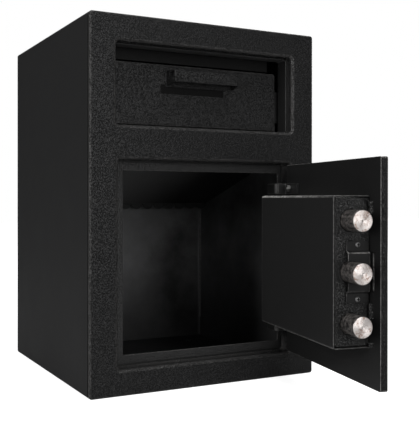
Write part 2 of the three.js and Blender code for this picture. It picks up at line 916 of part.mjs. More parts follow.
const clipX = bracketX + bracketSheet + seatGap;
sides.forEach(([side, name]) => {
  const clip = rodRing(clipRadius, clipX, clipX + clipThickness);
  const bush = rodRing(rodBore + drawerBushWall, binOuterX + bushEndGap, bracketX - bushEndGap);
  add(safe, `rod_clip_${name}`, mirrored(clip, side), zinc);
  add(safe, `drawer_bush_${name}`, mirrored(bush, side), brass);
});

// Drawer face, with softened edges
function drawerFace() {
  const outline = roundedRectangle(-faceHalf, faceHalf, faceBottomZ, faceTopZ, faceCorner);
  const bevel = faceThickness / 8;
  return plateXZ(outline, faceOuterY + bevel, faceInnerY - bevel, {
    bevelEnabled: true,
    bevelThickness: bevel,
    bevelSize: bevel,
    bevelOffset: -bevel,
    bevelSegments: 1,
    curveSegments: cornerSteps,
  });
}
add(safe, 'drawer_face', drawerFace(), texturedBlack);

// Pull: a hood that narrows to the front, made as a full block less its inside
function pullBlock(inset) {
  const half = pullWidth / 2 - inset;
  const frontHalf = half - pullTaper;
  const top = faceTopZ - pullBelowFaceTop - inset;
  const bottom = top + inset - pullHeight;
  const faceSide = faceOuterY - seatGap;
  const front = faceSide - pullProjection + inset;
  const drop = inset > 0 ? cutOverrun : 0;
  const back = inset > 0 ? cutOverrun : 0;
  const section = new THREE.Shape();
  section.moveTo(faceSide + back, top);
  section.lineTo(front, top);
  section.lineTo(front, bottom + pullUnderSlope - drop);
  section.lineTo(faceSide, bottom - drop);
  section.lineTo(faceSide + back, bottom - drop);
  section.closePath();
  const corner = Math.max(pullCorner - inset, pullSheet / 4);
  const plan = new THREE.Shape();
  plan.moveTo(-half, faceSide + back);
  plan.lineTo(-frontHalf, front + corner);
  plan.absarc(-frontHalf + corner, front + corner, corner, Math.PI, Math.PI * 1.5, false);
  plan.lineTo(frontHalf - corner, front);
  plan.absarc(frontHalf - corner, front + corner, corner, -Math.PI / 2, 0, false);
  plan.lineTo(half, faceSide + back);
  plan.closePath();
  const length = plateYZ(section, -pullWidth, pullWidth);
  return common(length, plateXY(plan, bottom - cutOverrun * 2, top + cutOverrun));
}
const pull = cut(pullBlock(0), pullBlock(pullSheet)).translate(pullOffset, 0, 0);
add(safe, 'drawer_pull', pull, texturedBlack);

// Bin: two quarter-round sides and a sloping floor, all turning on the rod
function binSide(side) {
  const frontEdge = faceInnerY + seatGap;
  const toEdge = frontEdge - pivotY;
  const outline = new THREE.Shape();
  outline.moveTo(frontEdge, pivotZ);
  outline.absarc(pivotY, pivotZ, binLugRadius, -Math.PI / 2 - Math.PI / 3, -Math.PI / 2, false);
  outline.absarc(pivotY, pivotZ, binRadius, -troughAngle * degrees, Math.acos(toEdge / binRadius), false);
  outline.closePath();
  outline.holes.push(roundHole(pivotY, pivotZ, rodBore));
  const plate = plateYZ(outline, binInnerX, binOuterX, { curveSegments: roundSteps / 2 });
  return mirrored(plate, side);
}
sides.forEach(([side, name]) => {
  add(safe, `bin_side_${name}`, binSide(side), satinBlack);
});

function binFloor() {
  const y = faceInnerY + seatGap + troughSheet / 2;
  const slope = troughAngle * degrees;
  const bendZ = pivotZ + troughRise;
  const run = binRadius * Math.cos(slope) - troughSheet;
  const rearDrop = binRadius * Math.sin(slope) - troughSheet;
  const section = bentStrip([
    [y, bendZ + troughFlange],
    [y, bendZ],
    [pivotY + run, pivotZ - rearDrop],
  ], troughSheet, troughBend);
  return plateYZ(section, -binInnerX + seatGap, binInnerX - seatGap);
}
add(safe, 'bin_floor', binFloor(), satinBlack);

function stopPin(side) {
  const angle = stopPinRestAngle * degrees;
  const y = pivotY + stopPinOrbit * Math.cos(angle);
  const z = pivotZ + stopPinOrbit * Math.sin(angle);
  const x0 = binOuterX + seatGap;
  return mirrored(barX(stopPinRadius, x0, x0 + stopPinLength, y, z, roundSteps / 2), side);
}
sides.forEach(([side, name]) => {
  add(safe, `drawer_stop_pin_${name}`, stopPin(side), zinc);
});

// The door and all it carries are drawn closed, then turned about the hinge axis.
const doorTurn = new THREE.Group();
doorTurn.position.set(hingeX, hingeY, 0);
doorTurn.rotation.z = doorOpenAngle * degrees;
const door = new THREE.Group();
door.position.set(-hingeX, -hingeY, 0);
doorTurn.add(door);
safe.add(doorTurn);

// Places of the boltwork, from the door's two edges
const boxFreeX = -doorHalf + boxFreeMargin;
const boxHingeX = doorHalf - boxHingeMargin;
const plateX = boxFreeX + boltPlateRecess;
const boltY = doorInnerY + boltAxisDepth;
const boltTipX = plateX - boltThrow;
const carrierX = boltTipX + boltLength + seatGap;
const handleX = -doorHalf + handleFromFreeEdge;
const dialX = doorHalf - dialFromHingeEdge;
const dialZ = workZ + dialRise;
const onDoorY = doorInnerY + seatGap;
const boltLevels = [workZ + boltPitch, workZ, workZ - boltPitch];
const halfTurn = (handleTurnAngle / 2) * degrees;
const crankRadius = boltStroke / 2 / Math.sin(halfTurn);

// Door plate, chamfered, bored for the shaft and the spindle
function doorPlate() {
  const outline = roundedRectangle(-doorHalf, doorHalf, doorLowZ, doorHighZ, openingCorner / 2);
  outline.holes.push(roundHole(handleX, workZ, shaftRadius + pinClearance + bushWall + seatGap));
  outline.holes.push(roundHole(dialX, dialZ, spindleRadius + pinClearance));
  return plateXZ(outline, doorOuterY + doorChamfer, doorInnerY - doorChamfer, {
    bevelEnabled: true,
    bevelThickness: doorChamfer,
    bevelSize: doorChamfer,
    bevelOffset: -doorChamfer,
    bevelSegments: 1,
    curveSegments: arcSteps,
  });
}
add(door, 'door_plate', doorPlate(), satinBlack);

// Gooseneck hinge arm: a foot on the door, a step inwards, a run behind the return, and
// a last leg forwards to the knuckle round the pin
const armFootX = doorHalf - armEdgeInset;
const armNutX = armFootX - armNutInset;
function hingeArm(level) {
  const footY = onDoorY + armThickness / 2;
  const innerY = footY + armReach;
  const legX = armFootX - armThickness / 2;
  const line = bentStrip([
    [legX - armFootLength, footY],
    [legX, footY],
    [legX, innerY],
    [legX + armReturn, innerY],
    [hingeX, hingeY],
  ], armThickness, armBend);
  const z0 = level - armHeight / 2;
  const z1 = level + armHeight / 2;
  const bar = plateXY(line, z0, z1);
  const knuckle = barZ(knuckleRadius, z0, z1, hingeX, hingeY);
  const bore = barZ(hingePinRadius + pinClearance, z0 - cutOverrun, z1 + cutOverrun, hingeX, hingeY);
  const studHole = barY(
    armStudRadius + screwHoleClearance,
    onDoorY - cutOverrun,
    onDoorY + armThickness + cutOverrun / 2,
    armNutX,
    level,
  );
  return cut(joined(bar, knuckle), bore, studHole);
}

// A stud that stands on the door, with the nut that holds the arm down
function armNut(level) {
  const nutY = onDoorY + armThickness + seatGap;
  const nut = barY(armNutRadius, nutY, nutY + armNutHeight, armNutX, level, hexSides);
  const stud = barY(armStudRadius, onDoorY, nutY + armNutHeight + armStudEnd, armNutX, level, roundSteps);
  return joined(nut, stud);
}
armLevels.forEach((level, i) => {
  add(door, `hinge_arm_${levelNames[i]}`, hingeArm(level), satinBlack);
  add(door, `hinge_arm_nut_${levelNames[i]}`, armNut(level), zinc);
});

// Cover of the boltwork: four sheet walls and a face, open towards the bolt plate
const boxLowZ = workZ - boxHeight / 2;
const boxHighZ = workZ + boxHeight / 2;
const boxInnerY = onDoorY + boxDepth;
function boxCover() {
  const section = new THREE.Shape();
  section.moveTo(onDoorY, boxLowZ);
  section.lineTo(boxInnerY - coverCorner, boxLowZ);
  section.absarc(boxInnerY - coverCorner, boxLowZ + coverCorner, coverCorner, -Math.PI / 2, 0, false);
  section.lineTo(boxInnerY, boxHighZ - coverCorner);
  section.absarc(boxInnerY - coverCorner, boxHighZ - coverCorner, coverCorner, 0, Math.PI / 2, false);
  section.lineTo(onDoorY, boxHighZ);
  section.closePath();
  const full = plateYZ(section, boxFreeX, boxHingeX);
  const corner = coverCorner - coverSheet;
  const inside = roundedRectangle(
    onDoorY - cutOverrun,
    boxInnerY - coverSheet,
    boxLowZ + coverSheet,
    boxHighZ - coverSheet,
    corner,
  );
  return cut(full, plateYZ(inside, boxFreeX - cutOverrun, boxHingeX - coverSheet));
}
add(door, 'box_cover', boxCover(), satinBlack);

// Bolt plate and inner guide plate, both bored for the three bolts
const boltBore = boltRadius + boltBoreClearance;
function boredPlate(x0, x1, corner, extraHoles) {
  const outline = roundedRectangle(
    onDoorY,
    boxInnerY - coverSheet - seatGap,
    boxLowZ + coverSheet + seatGap,
    boxHighZ - coverSheet - seatGap,
    corner,
  );
  boltLevels.forEach((z) => outline.holes.push(roundHole(boltY, z, boltBore, boltSteps)));
  extraHoles.forEach(([y, z, radius]) => outline.holes.push(roundHole(y, z, radius)));
  return plateYZ(outline, x0, x1);
}
const strapEdgeY = onDoorY + strapFreeEdge;
const strapMidY = strapEdgeY - strapWidth / 2;
const strapScrewPlaces = [1, -1].map((side) => [strapMidY, workZ + (side * strapScrewSpread) / 2]);
const strapHoles = strapScrewPlaces.map(([y, z]) => [y, z, screwShankRadius + screwHoleClearance]);
add(door, 'bolt_plate', boredPlate(plateX, plateX + boltPlateThickness, boltPlateCorner, strapHoles), texturedBlack);
const guideX = plateX + boltPlateThickness + guidePlateSpacing;
add(door, 'guide_plate', boredPlate(guideX, guideX + guidePlateThickness, boltPlateCorner, []), plainSteel);

// Hat-shaped strap over the middle bolt, notched where the bolt passes
function guideStrap() {
  const x = plateX - seatGap - strapThickness / 2;
  const half = strapLength / 2;
  const raised = strapRaisedLength / 2;
  const section = bentStrip([
    [x, workZ - half],
    [x, workZ - raised],
    [x - strapRise, workZ - raised + strapThickness],
    [x - strapRise, workZ + raised - strapThickness],
    [x, workZ + raised],
    [x, workZ + half],
  ], strapThickness, strapThickness / 2);
  const strap = plateXZ(section, strapEdgeY - strapWidth, strapEdgeY);
  const reachX = strapRise + strapThickness + cutOverrun;
  const notch = barX(boltBore, x - reachX, x + reachX, boltY, workZ, boltSteps);
  const holes = strapScrewPlaces.map(([y, z]) => barX(
    screwShankRadius + screwHoleClearance,
    x - reachX,
    x + reachX,
    y,
    z,
    roundSteps / 2,
  ));
  return cut(strap, notch, ...holes);
}
add(door, 'guide_strap', guideStrap(), satinBlack);

const towardsFree = new THREE.Vector3(-1, 0, 0);
strapScrewPlaces.forEach(([y, z], i) => {
  const headX = plateX - seatGap * 2 - strapThickness;
  const shank = strapThickness + boltPlateThickness + seatGap;
  const screw = pointed(screwGeometry(shank, strapScrewHeadRadius), towardsFree, headX, y, z);
  add(door, `strap_screw_${levelNames[i]}`, screw, zinc);
});

// Flat tab that lies on the door beside the bolt plate
function sideTab() {
  const x = plateX - seatGap;
  const outline = roundedRectangle(
    x - tabWidth,
    x,
    workZ - tabHeight / 2,
    workZ + tabHeight / 2,
    tabThickness / 2,
  );
  return plateXZ(outline, onDoorY, onDoorY + tabThickness);
}
add(door, 'side_tab', sideTab(), satinBlack);

// Bolts: round bars with a chamfered tip, and the bar that carries them
function liveBolt(level) {
  const bolt = turned([
    [0, -boltLength],
    [boltRadius, -boltLength],
    [boltRadius, -boltChamfer],
    [boltRadius - boltChamfer, 0],
    [0, 0],
  ], boltSteps);
  return pointed(bolt, towardsFree, boltTipX, boltY, level);
}
const boltNames = ['upper', 'middle', 'lower'];
boltLevels.forEach((level, i) => {
  add(door, `bolt_${boltNames[i]}`, liveBolt(level), brightSteel);
});

const crankRestX = handleX - boltStroke / 2;
function boltCarrier() {
  const outline = roundedRectangle(
    boltY - carrierWidth / 2,
    boltY + carrierWidth / 2,
    workZ - boltPitch - carrierEndLap,
    workZ + boltPitch + carrierEndLap,
    boltPlateCorner,
  );
  const bar = plateYZ(outline, carrierX, carrierX + carrierThickness);
  const lowestPin = workZ + crankRadius * Math.cos(halfTurn);
  const highestPin = workZ + crankRadius;
  const slotHalf = crankPinRadius + crankSlotClearance;
  const tail = rectangle(
    carrierX + carrierThickness / 2,
    crankRestX + slotHalf + tailMargin,
    highestPin + tailMargin - tailHeight,
    highestPin + tailMargin,
  );
  tail.holes.push(roundedRectangle(
    crankRestX - slotHalf,
    crankRestX + slotHalf,
    lowestPin - slotHalf,
    highestPin + slotHalf,
    slotHalf * (1 - 1 / roundSteps),
    THREE.Path,
  ));
  const tailY = boltY + tailOffset;
  return joined(bar, plateXZ(tail, tailY - tailThickness / 2, tailY + tailThickness / 2));
}
add(door, 'bolt_carrier', boltCarrier(), plainSteel);

boltLevels.forEach((level, i) => {
  const x = carrierX + carrierThickness + seatGap;
  const head = barX(boltScrewRadius, x, x + boltScrewHead, boltY, level, hexSides);
  add(door, `bolt_screw_${boltNames[i]}`, head, zinc);
});

// Handle side of the boltwork
const crankY = onDoorY + crankFromDoor;
const hubBaseY = doorOuterY - seatGap - escutcheonThickness - seatGap;
const hubEndY = hubBaseY - hubLength;
const shaftOuterY = hubEndY + leverThickness / 2;
add(
  door,
  'handle_shaft',
  barY(shaftRadius, shaftOuterY, crankY + crankThickness / 2, handleX, workZ),
  plainSteel,
);

function handleBush() {
  const bore = shaftRadius + pinClearance;
  const outline = disc(handleX, workZ, bore + bushWall);
  outline.holes.push(roundHole(handleX, workZ, bore));
  return plateXZ(outline, doorOuterY, doorInnerY);
}
add(door, 'handle_bush', handleBush(), brass);

function crankArm() {
  const pinX = handleX - crankRadius * Math.sin(halfTurn);
  const pinZ = workZ + crankRadius * Math.cos(halfTurn);
  const outline = link([handleX, workZ, crankHubRadius], [pinX, pinZ, crankEndRadius]);
  const arm = plateXZ(outline, crankY, crankY + crankThickness, { curveSegments: arcSteps * 2 });
  const pin = barY(crankPinRadius, crankY, crankY + crankThickness + crankPinLength, pinX, pinZ);
  const shaftHole = barY(
    shaftRadius + pinClearance,
    crankY - cutOverrun,
    crankY + crankThickness / 2 + seatGap,
    handleX,
    workZ,
  );
  return cut(joined(arm, pin), shaftHole);
}
add(door, 'crank_arm', crankArm(), plainSteel);

function escutcheon() {
  const bore = shaftRadius + pinClearance;
  const outer = doorOuterY - seatGap;
  const ring = turned([
    [bore, 0],
    [escutcheonRadius, 0],
    [escutcheonRadius, escutcheonThickness / 2],
    [escutcheonRadius - escutcheonThickness, escutcheonThickness],
    [bore, escutcheonThickness],
    [bore, 0],
  ], roundSteps);
  return pointed(ring, new THREE.Vector3(0, -1, 0), handleX, outer, workZ);
}
add(door, 'handle_escutcheon', escutcheon(), satinNickel);

// Lever: a tapered bar with round ends on a hub, hanging straight down at rest
function leverHandle() {
  const tip = leverTipWidth / 2;
  const outline = link(
    [handleX, workZ, leverRootWidth / 2],
    [handleX, workZ - leverLength + tip, tip],
  );
  const bar = plateXZ(outline, hubEndY - leverBevel, hubEndY + leverThickness - leverBevel * 2, {
    bevelEnabled: true,
    bevelThickness: leverBevel,
    bevelSize: leverBevel,
    bevelOffset: -leverBevel,
    bevelSegments: 2,
    curveSegments: arcSteps * 2,
  });
  const hub = barY(hubRadius, hubEndY + leverBevel, hubBaseY, handleX, workZ);
  const shaftHole = barY(shaftRadius + pinClearance, shaftOuterY - seatGap, hubBaseY + cutOverrun, handleX, workZ);
  return cut(joined(bar, hub), shaftHole);
}
add(door, 'lever_handle', leverHandle(), satinNickel);

// Combination dial: a ring fixed to the door, and a dial with a fluted grip inside it
const outwards = new THREE.Vector3(0, -1, 0);
const dialBaseY = doorOuterY - seatGap;
function dialRing() {
  const inner = dialRingRadius - dialRingWidth;
  const ring = turned([
    [inner, 0],
    [dialRingRadius, 0],
    [dialRingRadius, dialRingHeight / 2],
    [dialRingRadius - dialRingWidth / 2, dialRingHeight],
    [inner, dialRingHeight],
    [inner, 0],
  ], dialSteps);
  return pointed(ring, outwards, dialX, dialBaseY, dialZ);
}
add(door, 'dial_ring', dialRing(), satinNickel);

function combinationDial() {
  const face = turned([
    [0, 0],
    [dialRadius, 0],
    [dialRadius, dialRimHeight],
    [dialGripRadius, dialThickness],
    [0, dialThickness],
  ], dialSteps);
  const flutes = new THREE.Shape();
  const steps = dialGripFluteCount * 4;
  for (let i = 0; i < steps; i += 1) {
    const angle = (i / steps) * Math.PI * 2;
    const wave = dialGripRadius * (1 - dialGripFluteShare * (1 + Math.cos(angle * dialGripFluteCount)) / 2);
    const point = [wave * Math.cos(angle), wave * Math.sin(angle)];
    if (i === 0) flutes.moveTo(...point);
    else flutes.lineTo(...point);
  }
  flutes.closePath();
  const grip = extruded(flutes, dialGripLength, {});
  grip.rotateX(-Math.PI / 2);
  grip.translate(0, dialThickness / 2, 0);
  return pointed(joined(face, grip), outwards, dialX, dialBaseY - dialStandoff, dialZ);
}
add(door, 'combination_dial', combinationDial(), dialBlack);

const spindleEndY = onDoorY - seatGap;
add(
  door,
  'dial_spindle',
  barY(spindleRadius, dialBaseY - dialStandoff + seatGap, spindleEndY, dialX, dialZ, roundSteps),
  plainSteel,
);

function lockCase() {
  const top = dialZ + lockSpindleFromTop;
  const left = dialX - lockWidth / 2;
  const outline = roundedRectangle(left, left + lockWidth, top - lockHeight, top, lockCorner);
  const body = plateXZ(outline, onDoorY, onDoorY + lockDepth);
  const bolt = block(
    left - lockBoltReach,
    left + lockCorner,
    onDoorY + (lockDepth - lockBoltThickness) / 2,
    onDoorY + (lockDepth + lockBoltThickness) / 2,
    dialZ - lockBoltWidth / 2,
    dialZ + lockBoltWidth / 2,
  );
  return joined(body, bolt);
}
add(door, 'lock_case', lockCase(), zinc);

sides.forEach(([side, sideName]) => {
  const lockTop = dialZ + lockSpindleFromTop;
  const x = dialX + side * (lockWidth / 2 - lockScrewInset);
  const y = onDoorY + lockDepth + seatGap;
  [lockTop - lockScrewInset, lockTop - lockHeight + lockScrewInset].forEach((z, i) => {
    const head = barY(lockScrewHeadRadius, y, y + screwHead, x, z, roundSteps / 2);
    add(door, `lock_screw_${levelNames[i]}_${sideName}`, head, brass);
  });
});

export default safe;
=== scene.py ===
import json
import math

import bmesh
import bpy
from mathutils import Matrix, Vector
from mathutils.geometry import tessellate_polygon


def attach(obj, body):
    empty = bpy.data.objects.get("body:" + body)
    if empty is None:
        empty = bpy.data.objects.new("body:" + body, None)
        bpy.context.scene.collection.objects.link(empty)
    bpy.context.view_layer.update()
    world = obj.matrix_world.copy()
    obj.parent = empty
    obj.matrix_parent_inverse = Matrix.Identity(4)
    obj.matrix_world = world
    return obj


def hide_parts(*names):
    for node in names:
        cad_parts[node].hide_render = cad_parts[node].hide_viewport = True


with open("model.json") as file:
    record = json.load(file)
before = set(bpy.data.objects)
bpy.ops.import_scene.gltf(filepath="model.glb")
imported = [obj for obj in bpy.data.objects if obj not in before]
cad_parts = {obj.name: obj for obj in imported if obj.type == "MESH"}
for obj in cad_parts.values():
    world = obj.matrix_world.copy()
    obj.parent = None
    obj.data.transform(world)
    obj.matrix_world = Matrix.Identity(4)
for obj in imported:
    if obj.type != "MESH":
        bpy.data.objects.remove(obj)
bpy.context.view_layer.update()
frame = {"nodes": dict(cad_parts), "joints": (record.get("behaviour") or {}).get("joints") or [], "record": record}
nodes = frame["nodes"]
scene = bpy.context.scene
mm = 0.001


def newObject(name, data):
    made = bpy.data.objects.new(name, data)
    scene.collection.objects.link(made)
    return made


# Camera: solved from the cabinet's corners in the photograph. Pixels of its 420 x 424 frame.
view = {
    "azimuth": 27.341,
    "pitch": -0.234,
    "roll": 0.045,
    "place": (-0.5235, -1.1240, 0.2624),
    "focalPixels": 769.8,
    "centrePixels": (187.8, 202.0),
    "framePixels": (420, 424),
    "sensor": 36.0,
    "nearest": 0.01,
}


def makeCamera():
    data = bpy.data.cameras.new("camera")
    data.sensor_fit = "HORIZONTAL"
    data.sensor_width = view["sensor"]
    width, height = view["framePixels"]
    data.lens = view["sensor"] * view["focalPixels"] / width
    data.shift_x = (width / 2 - view["centrePixels"][0]) / width
    data.shift_y = (view["centrePixels"][1] - height / 2) / width
    data.clip_start = view["nearest"]
    scene.camera = newObject("camera", data)
    scene.camera.matrix_world = (
        Matrix.Translation(view["place"])
        @ Matrix.Rotation(-math.radians(view["azimuth"]), 4, "Z")
        @ Matrix.Rotation(math.radians(90 + view["pitch"]), 4, "X")
        @ Matrix.Rotation(math.radians(view["roll"]), 4, "Z")
    )


makeCamera()
print("camera made")

# Pieces are drawn in millimetres with the door closed. What rides on the door is then
# turned to the door's pose in the frame.
bodyOf = {
    node: body
    for body, members in frame["record"]["behaviour"]["bodies"].items()
    for node in members
}
slotOf = {part["node"]: part["material_slot"] for part in frame["record"]["subparts"]}
onDoor = {"door", "boltwork", "handle", "dial"}
doorSwing = next(joint for joint in frame["joints"] if joint["name"] == "door_swing")
hingeLine = Vector(doorSwing["pos_m"]) / mm
openDoor = (
    Matrix.Translation(hingeLine)
    @ Matrix.Rotation(-math.radians(doorSwing["range_deg"][0]), 4, "Z")
    @ Matrix.Translation(-hingeLine)
)


def turnOf(body):
    return openDoor if body in onDoor else Matrix.Identity(4)


# Lowest and highest corner of a node with the door closed
def shutBox(node):
    turn = turnOf(bodyOf[node]).inverted()
    points = [turn @ (vertex.co / mm) for vertex in nodes[node].data.vertices]
    low = Vector([min(point[i] for point in points) for i in range(3)])
    high = Vector([max(point[i] for point in points) for i in range(3)])
    return low, high


# The spans of a box along two axes: u0, u1, v0, v1
def spans(box, axes="xz"):
    return [getattr(corner, axis) for axis in axes for corner in box]


# The middle of a box along some axes
def middle(box, axes="xz"):
    return [sum(getattr(corner, axis) for corner in box) / 2 for axis in axes]


def grown(box, distance):
    return box[0] - distance, box[1] + distance, box[2] - distance, box[3] + distance


# Outlines: lists of points in u and v, anticlockwise when closed
def arc(u, v, radius, start, end, steps):
    angles = [math.radians(start + (end - start) * i / steps) for i in range(steps + 1)]
    return [(u + radius * math.cos(a), v + radius * math.sin(a)) for a in angles]


def circle(u, v, radius, steps=48):
    return arc(u, v, radius, 0, 360, steps)[:-1]


def rectangle(u0, u1, v0, v1):
    return [(u0, v0), (u1, v0), (u1, v1), (u0, v1)]


def rounded(u0, u1, v0, v1, radius, steps=8):
    left, right, low, high = grown((u0, u1, v0, v1), -radius)
    centres = [(right, low), (right, high), (left, high), (left, low)]
    loop = []
    for i, (u, v) in enumerate(centres):
        loop += arc(u, v, radius, 90 * i - 90, 90 * i, steps)
    return loop


# A quarter round: how far in and how far down each of its points lies
def quarter(radius, steps):
    angles = [math.pi / 2 * i / steps for i in range(steps + 1)]
    return [(radius * (1 - math.sin(a)), radius * (1 - math.cos(a))) for a in angles]


# Moves a line of points sideways, to the right of its run. On a closed line that runs
# anticlockwise, that is outwards.
def offset(line, distance, closed=True, sharpest=0.4):
    moved = []
    last = len(line) - 1
    for i, point in enumerate(line):
        here = Vector(point)
        before = here - Vector(line[i - 1]) if closed or i > 0 else None
        after = Vector(line[(i + 1) % len(line)]) - here if closed or i < last else before
        before = after if before is None else before
        along = (before.normalized() + after.normalized()).normalized()
        mitre = 1 / max(along.dot(after.normalized()), sharpest)
        moved.append((here.x + along.y * distance * mitre, here.y - along.x * distance * mitre))
    return moved


# Rounds the corners of an open line of points. A guard point beside each bend keeps the
# flats flat and ends the edge wear.
def bentLine(points, radius, steps, guard=0.6):
    line = [points[0]]
    for i in range(1, len(points) - 1):
        corner = Vector(points[i])
        before = (Vector(points[i - 1]) - corner).normalized()
        after = (Vector(points[i + 1]) - corner).normalized()
        half = before.angle(after) / 2
        centre = corner + (before + after).normalized() * (radius / math.sin(half))
        reach = radius / math.tan(half)
        start = corner + before * reach - centre
        end = corner + after * reach - centre
        room = min((Vector(points[i + way]) - corner).length - 2 * reach for way in (-1, 1))
        outer = reach + min(guard, max(room, 0) / 3)
        guards = [tuple(corner + way * outer) for way in (before, after) if outer > reach]
        first = math.atan2(start.y, start.x)
        sweep = (math.atan2(end.y, end.x) - first + math.pi) % (2 * math.pi) - math.pi
        first, sweep = math.degrees(first), math.degrees(sweep)
        line += guards[:1] + arc(*centre, radius, first, first + sweep, steps) + guards[1:]
    return line + [points[-1]]


# The outline of a strip of one thickness along a line
def stripLoop(line, thickness):
    right = offset(line, thickness / 2, closed=False)
    left = offset(line, -thickness / 2, closed=False)
    return right + left[::-1]


# Points, faces and bare edges of one piece, before it becomes a mesh. A mark is a value kept
# at a point: how far along a turned profile it lies.
class Form:
    def __init__(self):
        self.points = []
        self.edges = []
        self.faces = []
        self.marks = {}

    def ring(self, points, mark=None):
        start = len(self.points)
        self.points += [tuple(point) for point in points]
        ring = list(range(start, len(self.points)))
        if mark is not None:
            self.marks.update(dict.fromkeys(ring, mark))
        return ring

    def bridge(self, a, b, closed=True):
        for i in range(len(a) if closed else len(a) - 1):
            j = (i + 1) % len(a)
            self.faces.append((a[i], a[j], b[j], b[i]))

    def bridgeAll(self, rings, closed=True):
        for a, b in zip(rings, rings[1:]):
            self.bridge(a, b, closed)

    def fan(self, ring, tip):
        for i in range(len(ring)):
            self.faces.append((ring[i], ring[(i + 1) % len(ring)], tip))

    def cap(self, rings, whole=True):
        if len(rings) == 1 and whole:
            self.faces.append(tuple(rings[0]))
            return
        corners = [[Vector(self.points[i]) for i in ring] for ring in rings]
        order = [i for ring in rings for i in ring]
        for triangle in tessellate_polygon(corners):
            self.faces.append(tuple(order[i] for i in triangle))

    # Carries a loop along stations of inset and w, and gives back its end rings
    def sweep(self, loop, side, stations):
        rings = []
        for inset, w in stations:
            rings.append(self.ring([(u, v, w) for u, v in offset(loop, side * inset)]))
        self.bridgeAll(rings)
        return rings[0], rings[-1]

    def join(self, other):
        start = len(self.points)
        self.points += other.points
        self.faces += [tuple(i + start for i in face) for face in other.faces]
        self.marks.update({i + start: mark for i, mark in other.marks.items()})


# A plate with round edges: outlines in u and v, carried from low to high along w
def plate(outer, holes, low, high, edge=0.5, steps=3, flat=0.4):
    form = Form()
    stations = [(edge + flat, low)]
    stations += [(inset, low + drop) for inset, drop in quarter(edge, steps)]
    if high - low > 2 * (edge + flat) and edge > 0:
        stations.append((0, low + edge + flat))
    stations += [(inset, low + high - w) for inset, w in reversed(stations)]
    ends = [form.sweep(outer, -1, stations)]
    ends += [form.sweep(hole, 1, stations) for hole in holes]
    for rings in zip(*ends):
        form.cap(rings)
    return form


# The narrowest flat that a plate keeps beside its edge, for thin bars and sheet
thinFlat = 0.05


# A straight piece with sharp edges
def prism(loop, low, high):
    form = Form()
    rings = [form.ring([(u, v, w) for u, v in loop]) for w in (low, high)]
    form.bridgeAll(rings)
    for ring in rings:
        form.cap([ring])
    return form


def block(x0, x1, y0, y1, z0, z1):
    return prism(rectangle(x0, x1, y0, y1), z0, z1)


# A turned piece from a profile of radius and place along w, about (u, v)
def turned(profile, u, v, steps):
    form = Form()
    length, last, lastRing = 0, profile[0], []
    for radius, w in profile:
        length += math.dist(last, (radius, w))
        loop = circle(u, v, radius, steps) if radius > 0 else [(u, v)]
        ring = form.ring([(x, y, w) for x, y in loop], length)
        if len(lastRing) == 1:
            form.fan(ring, lastRing[0])
        elif lastRing and len(ring) == 1:
            form.fan(lastRing, ring[0])
        elif lastRing:
            form.bridge(lastRing, ring)
        last, lastRing = (radius, w), ring
    return form


# A round cutter that reaches equally far to both sides of a place along w
def drill(radius, w, reach, u, v, steps):
    low, high = w - reach, w + reach
    return turned([(0, low), (radius, low), (radius, high), (0, high)], u, v, steps)


# Rounds each inner corner of a turned profile, and leaves some of each flat
def softened(profile, radius, steps=3, share=2.2):
    soft = [profile[0]]
    for i in range(1, len(profile) - 1):
        corner = Vector(profile[i])
        before = Vector(profile[i - 1]) - corner
        after = Vector(profile[i + 1]) - corner
        reach = min(radius, before.length / share, after.length / share)
        start = corner + before.normalized() * reach
        end = corner + after.normalized() * reach
        for step in range(steps + 1):
            t = step / steps
            soft.append(tuple(start * (1 - t) ** 2 + corner * (2 * t * (1 - t)) + end * t**2))
    return soft + [profile[-1]]


# Makes the mesh. axes says which way u, v and w run, so "xzy" has u along X, v along Z.
def newPiece(name, form, axes="xyz", body="cabinet"):
    order = [axes.index(letter) for letter in "xyz"]
    turn = turnOf(body)
    points = [(turn @ Vector([point[i] for i in order])) * mm for point in form.points]
    mesh = bpy.data.meshes.new(name)
    mesh.from_pydata(points, form.edges, form.faces)
    if form.marks:
        along = mesh.attributes.new("along", "FLOAT", "POINT")
        for i, mark in form.marks.items():
            along.data[i].value = mark
    shape = bmesh.new()
    shape.from_mesh(mesh)
    bmesh.ops.remove_doubles(shape, verts=shape.verts, dist=1e-6)
    bmesh.ops.recalc_face_normals(shape, faces=shape.faces)
    shape.to_mesh(mesh)
    shape.free()
    return newObject(name, mesh)


# A mesh of what a piece's live modifiers make of it
def meshOf(piece):
    bpy.context.view_layer.update()
    graph = bpy.context.evaluated_depsgraph_get()
    return bpy.data.meshes.new_from_object(piece.evaluated_get(graph))


# Turns a piece's live modifiers into its mesh
def settleShape(piece):
    old, mesh = piece.data, meshOf(piece)
    piece.modifiers.clear()
    piece.data = mesh
    bpy.data.meshes.remove(old)


def cutWith(piece, cutters):
    for cutter in cutters:
        step = piece.modifiers.new("cut", "BOOLEAN")
        step.operation = "DIFFERENCE"
        step.solver = "EXACT"
        step.object = cutter
    settleShape(piece)
    for cutter in cutters:
        bpy.data.objects.remove(cutter)


def thicken(piece, thickness, rim):
    wall = piece.modifiers.new("wall", "SOLIDIFY")
    wall.thickness = thickness * mm
    wall.offset = -1
    wall.use_even_offset = True
    edge = piece.modifiers.new("edge", "BEVEL")
    edge.width = rim * mm
    edge.segments = 2
    edge.limit_method = "ANGLE"
    edge.angle_limit = math.radians(50)
    settleShape(piece)


# Degrees a convex edge turns where the wear and painted edge highlight begin, are full and end
edgeMark = {"least": 7, "full": 20, "cut": 50}
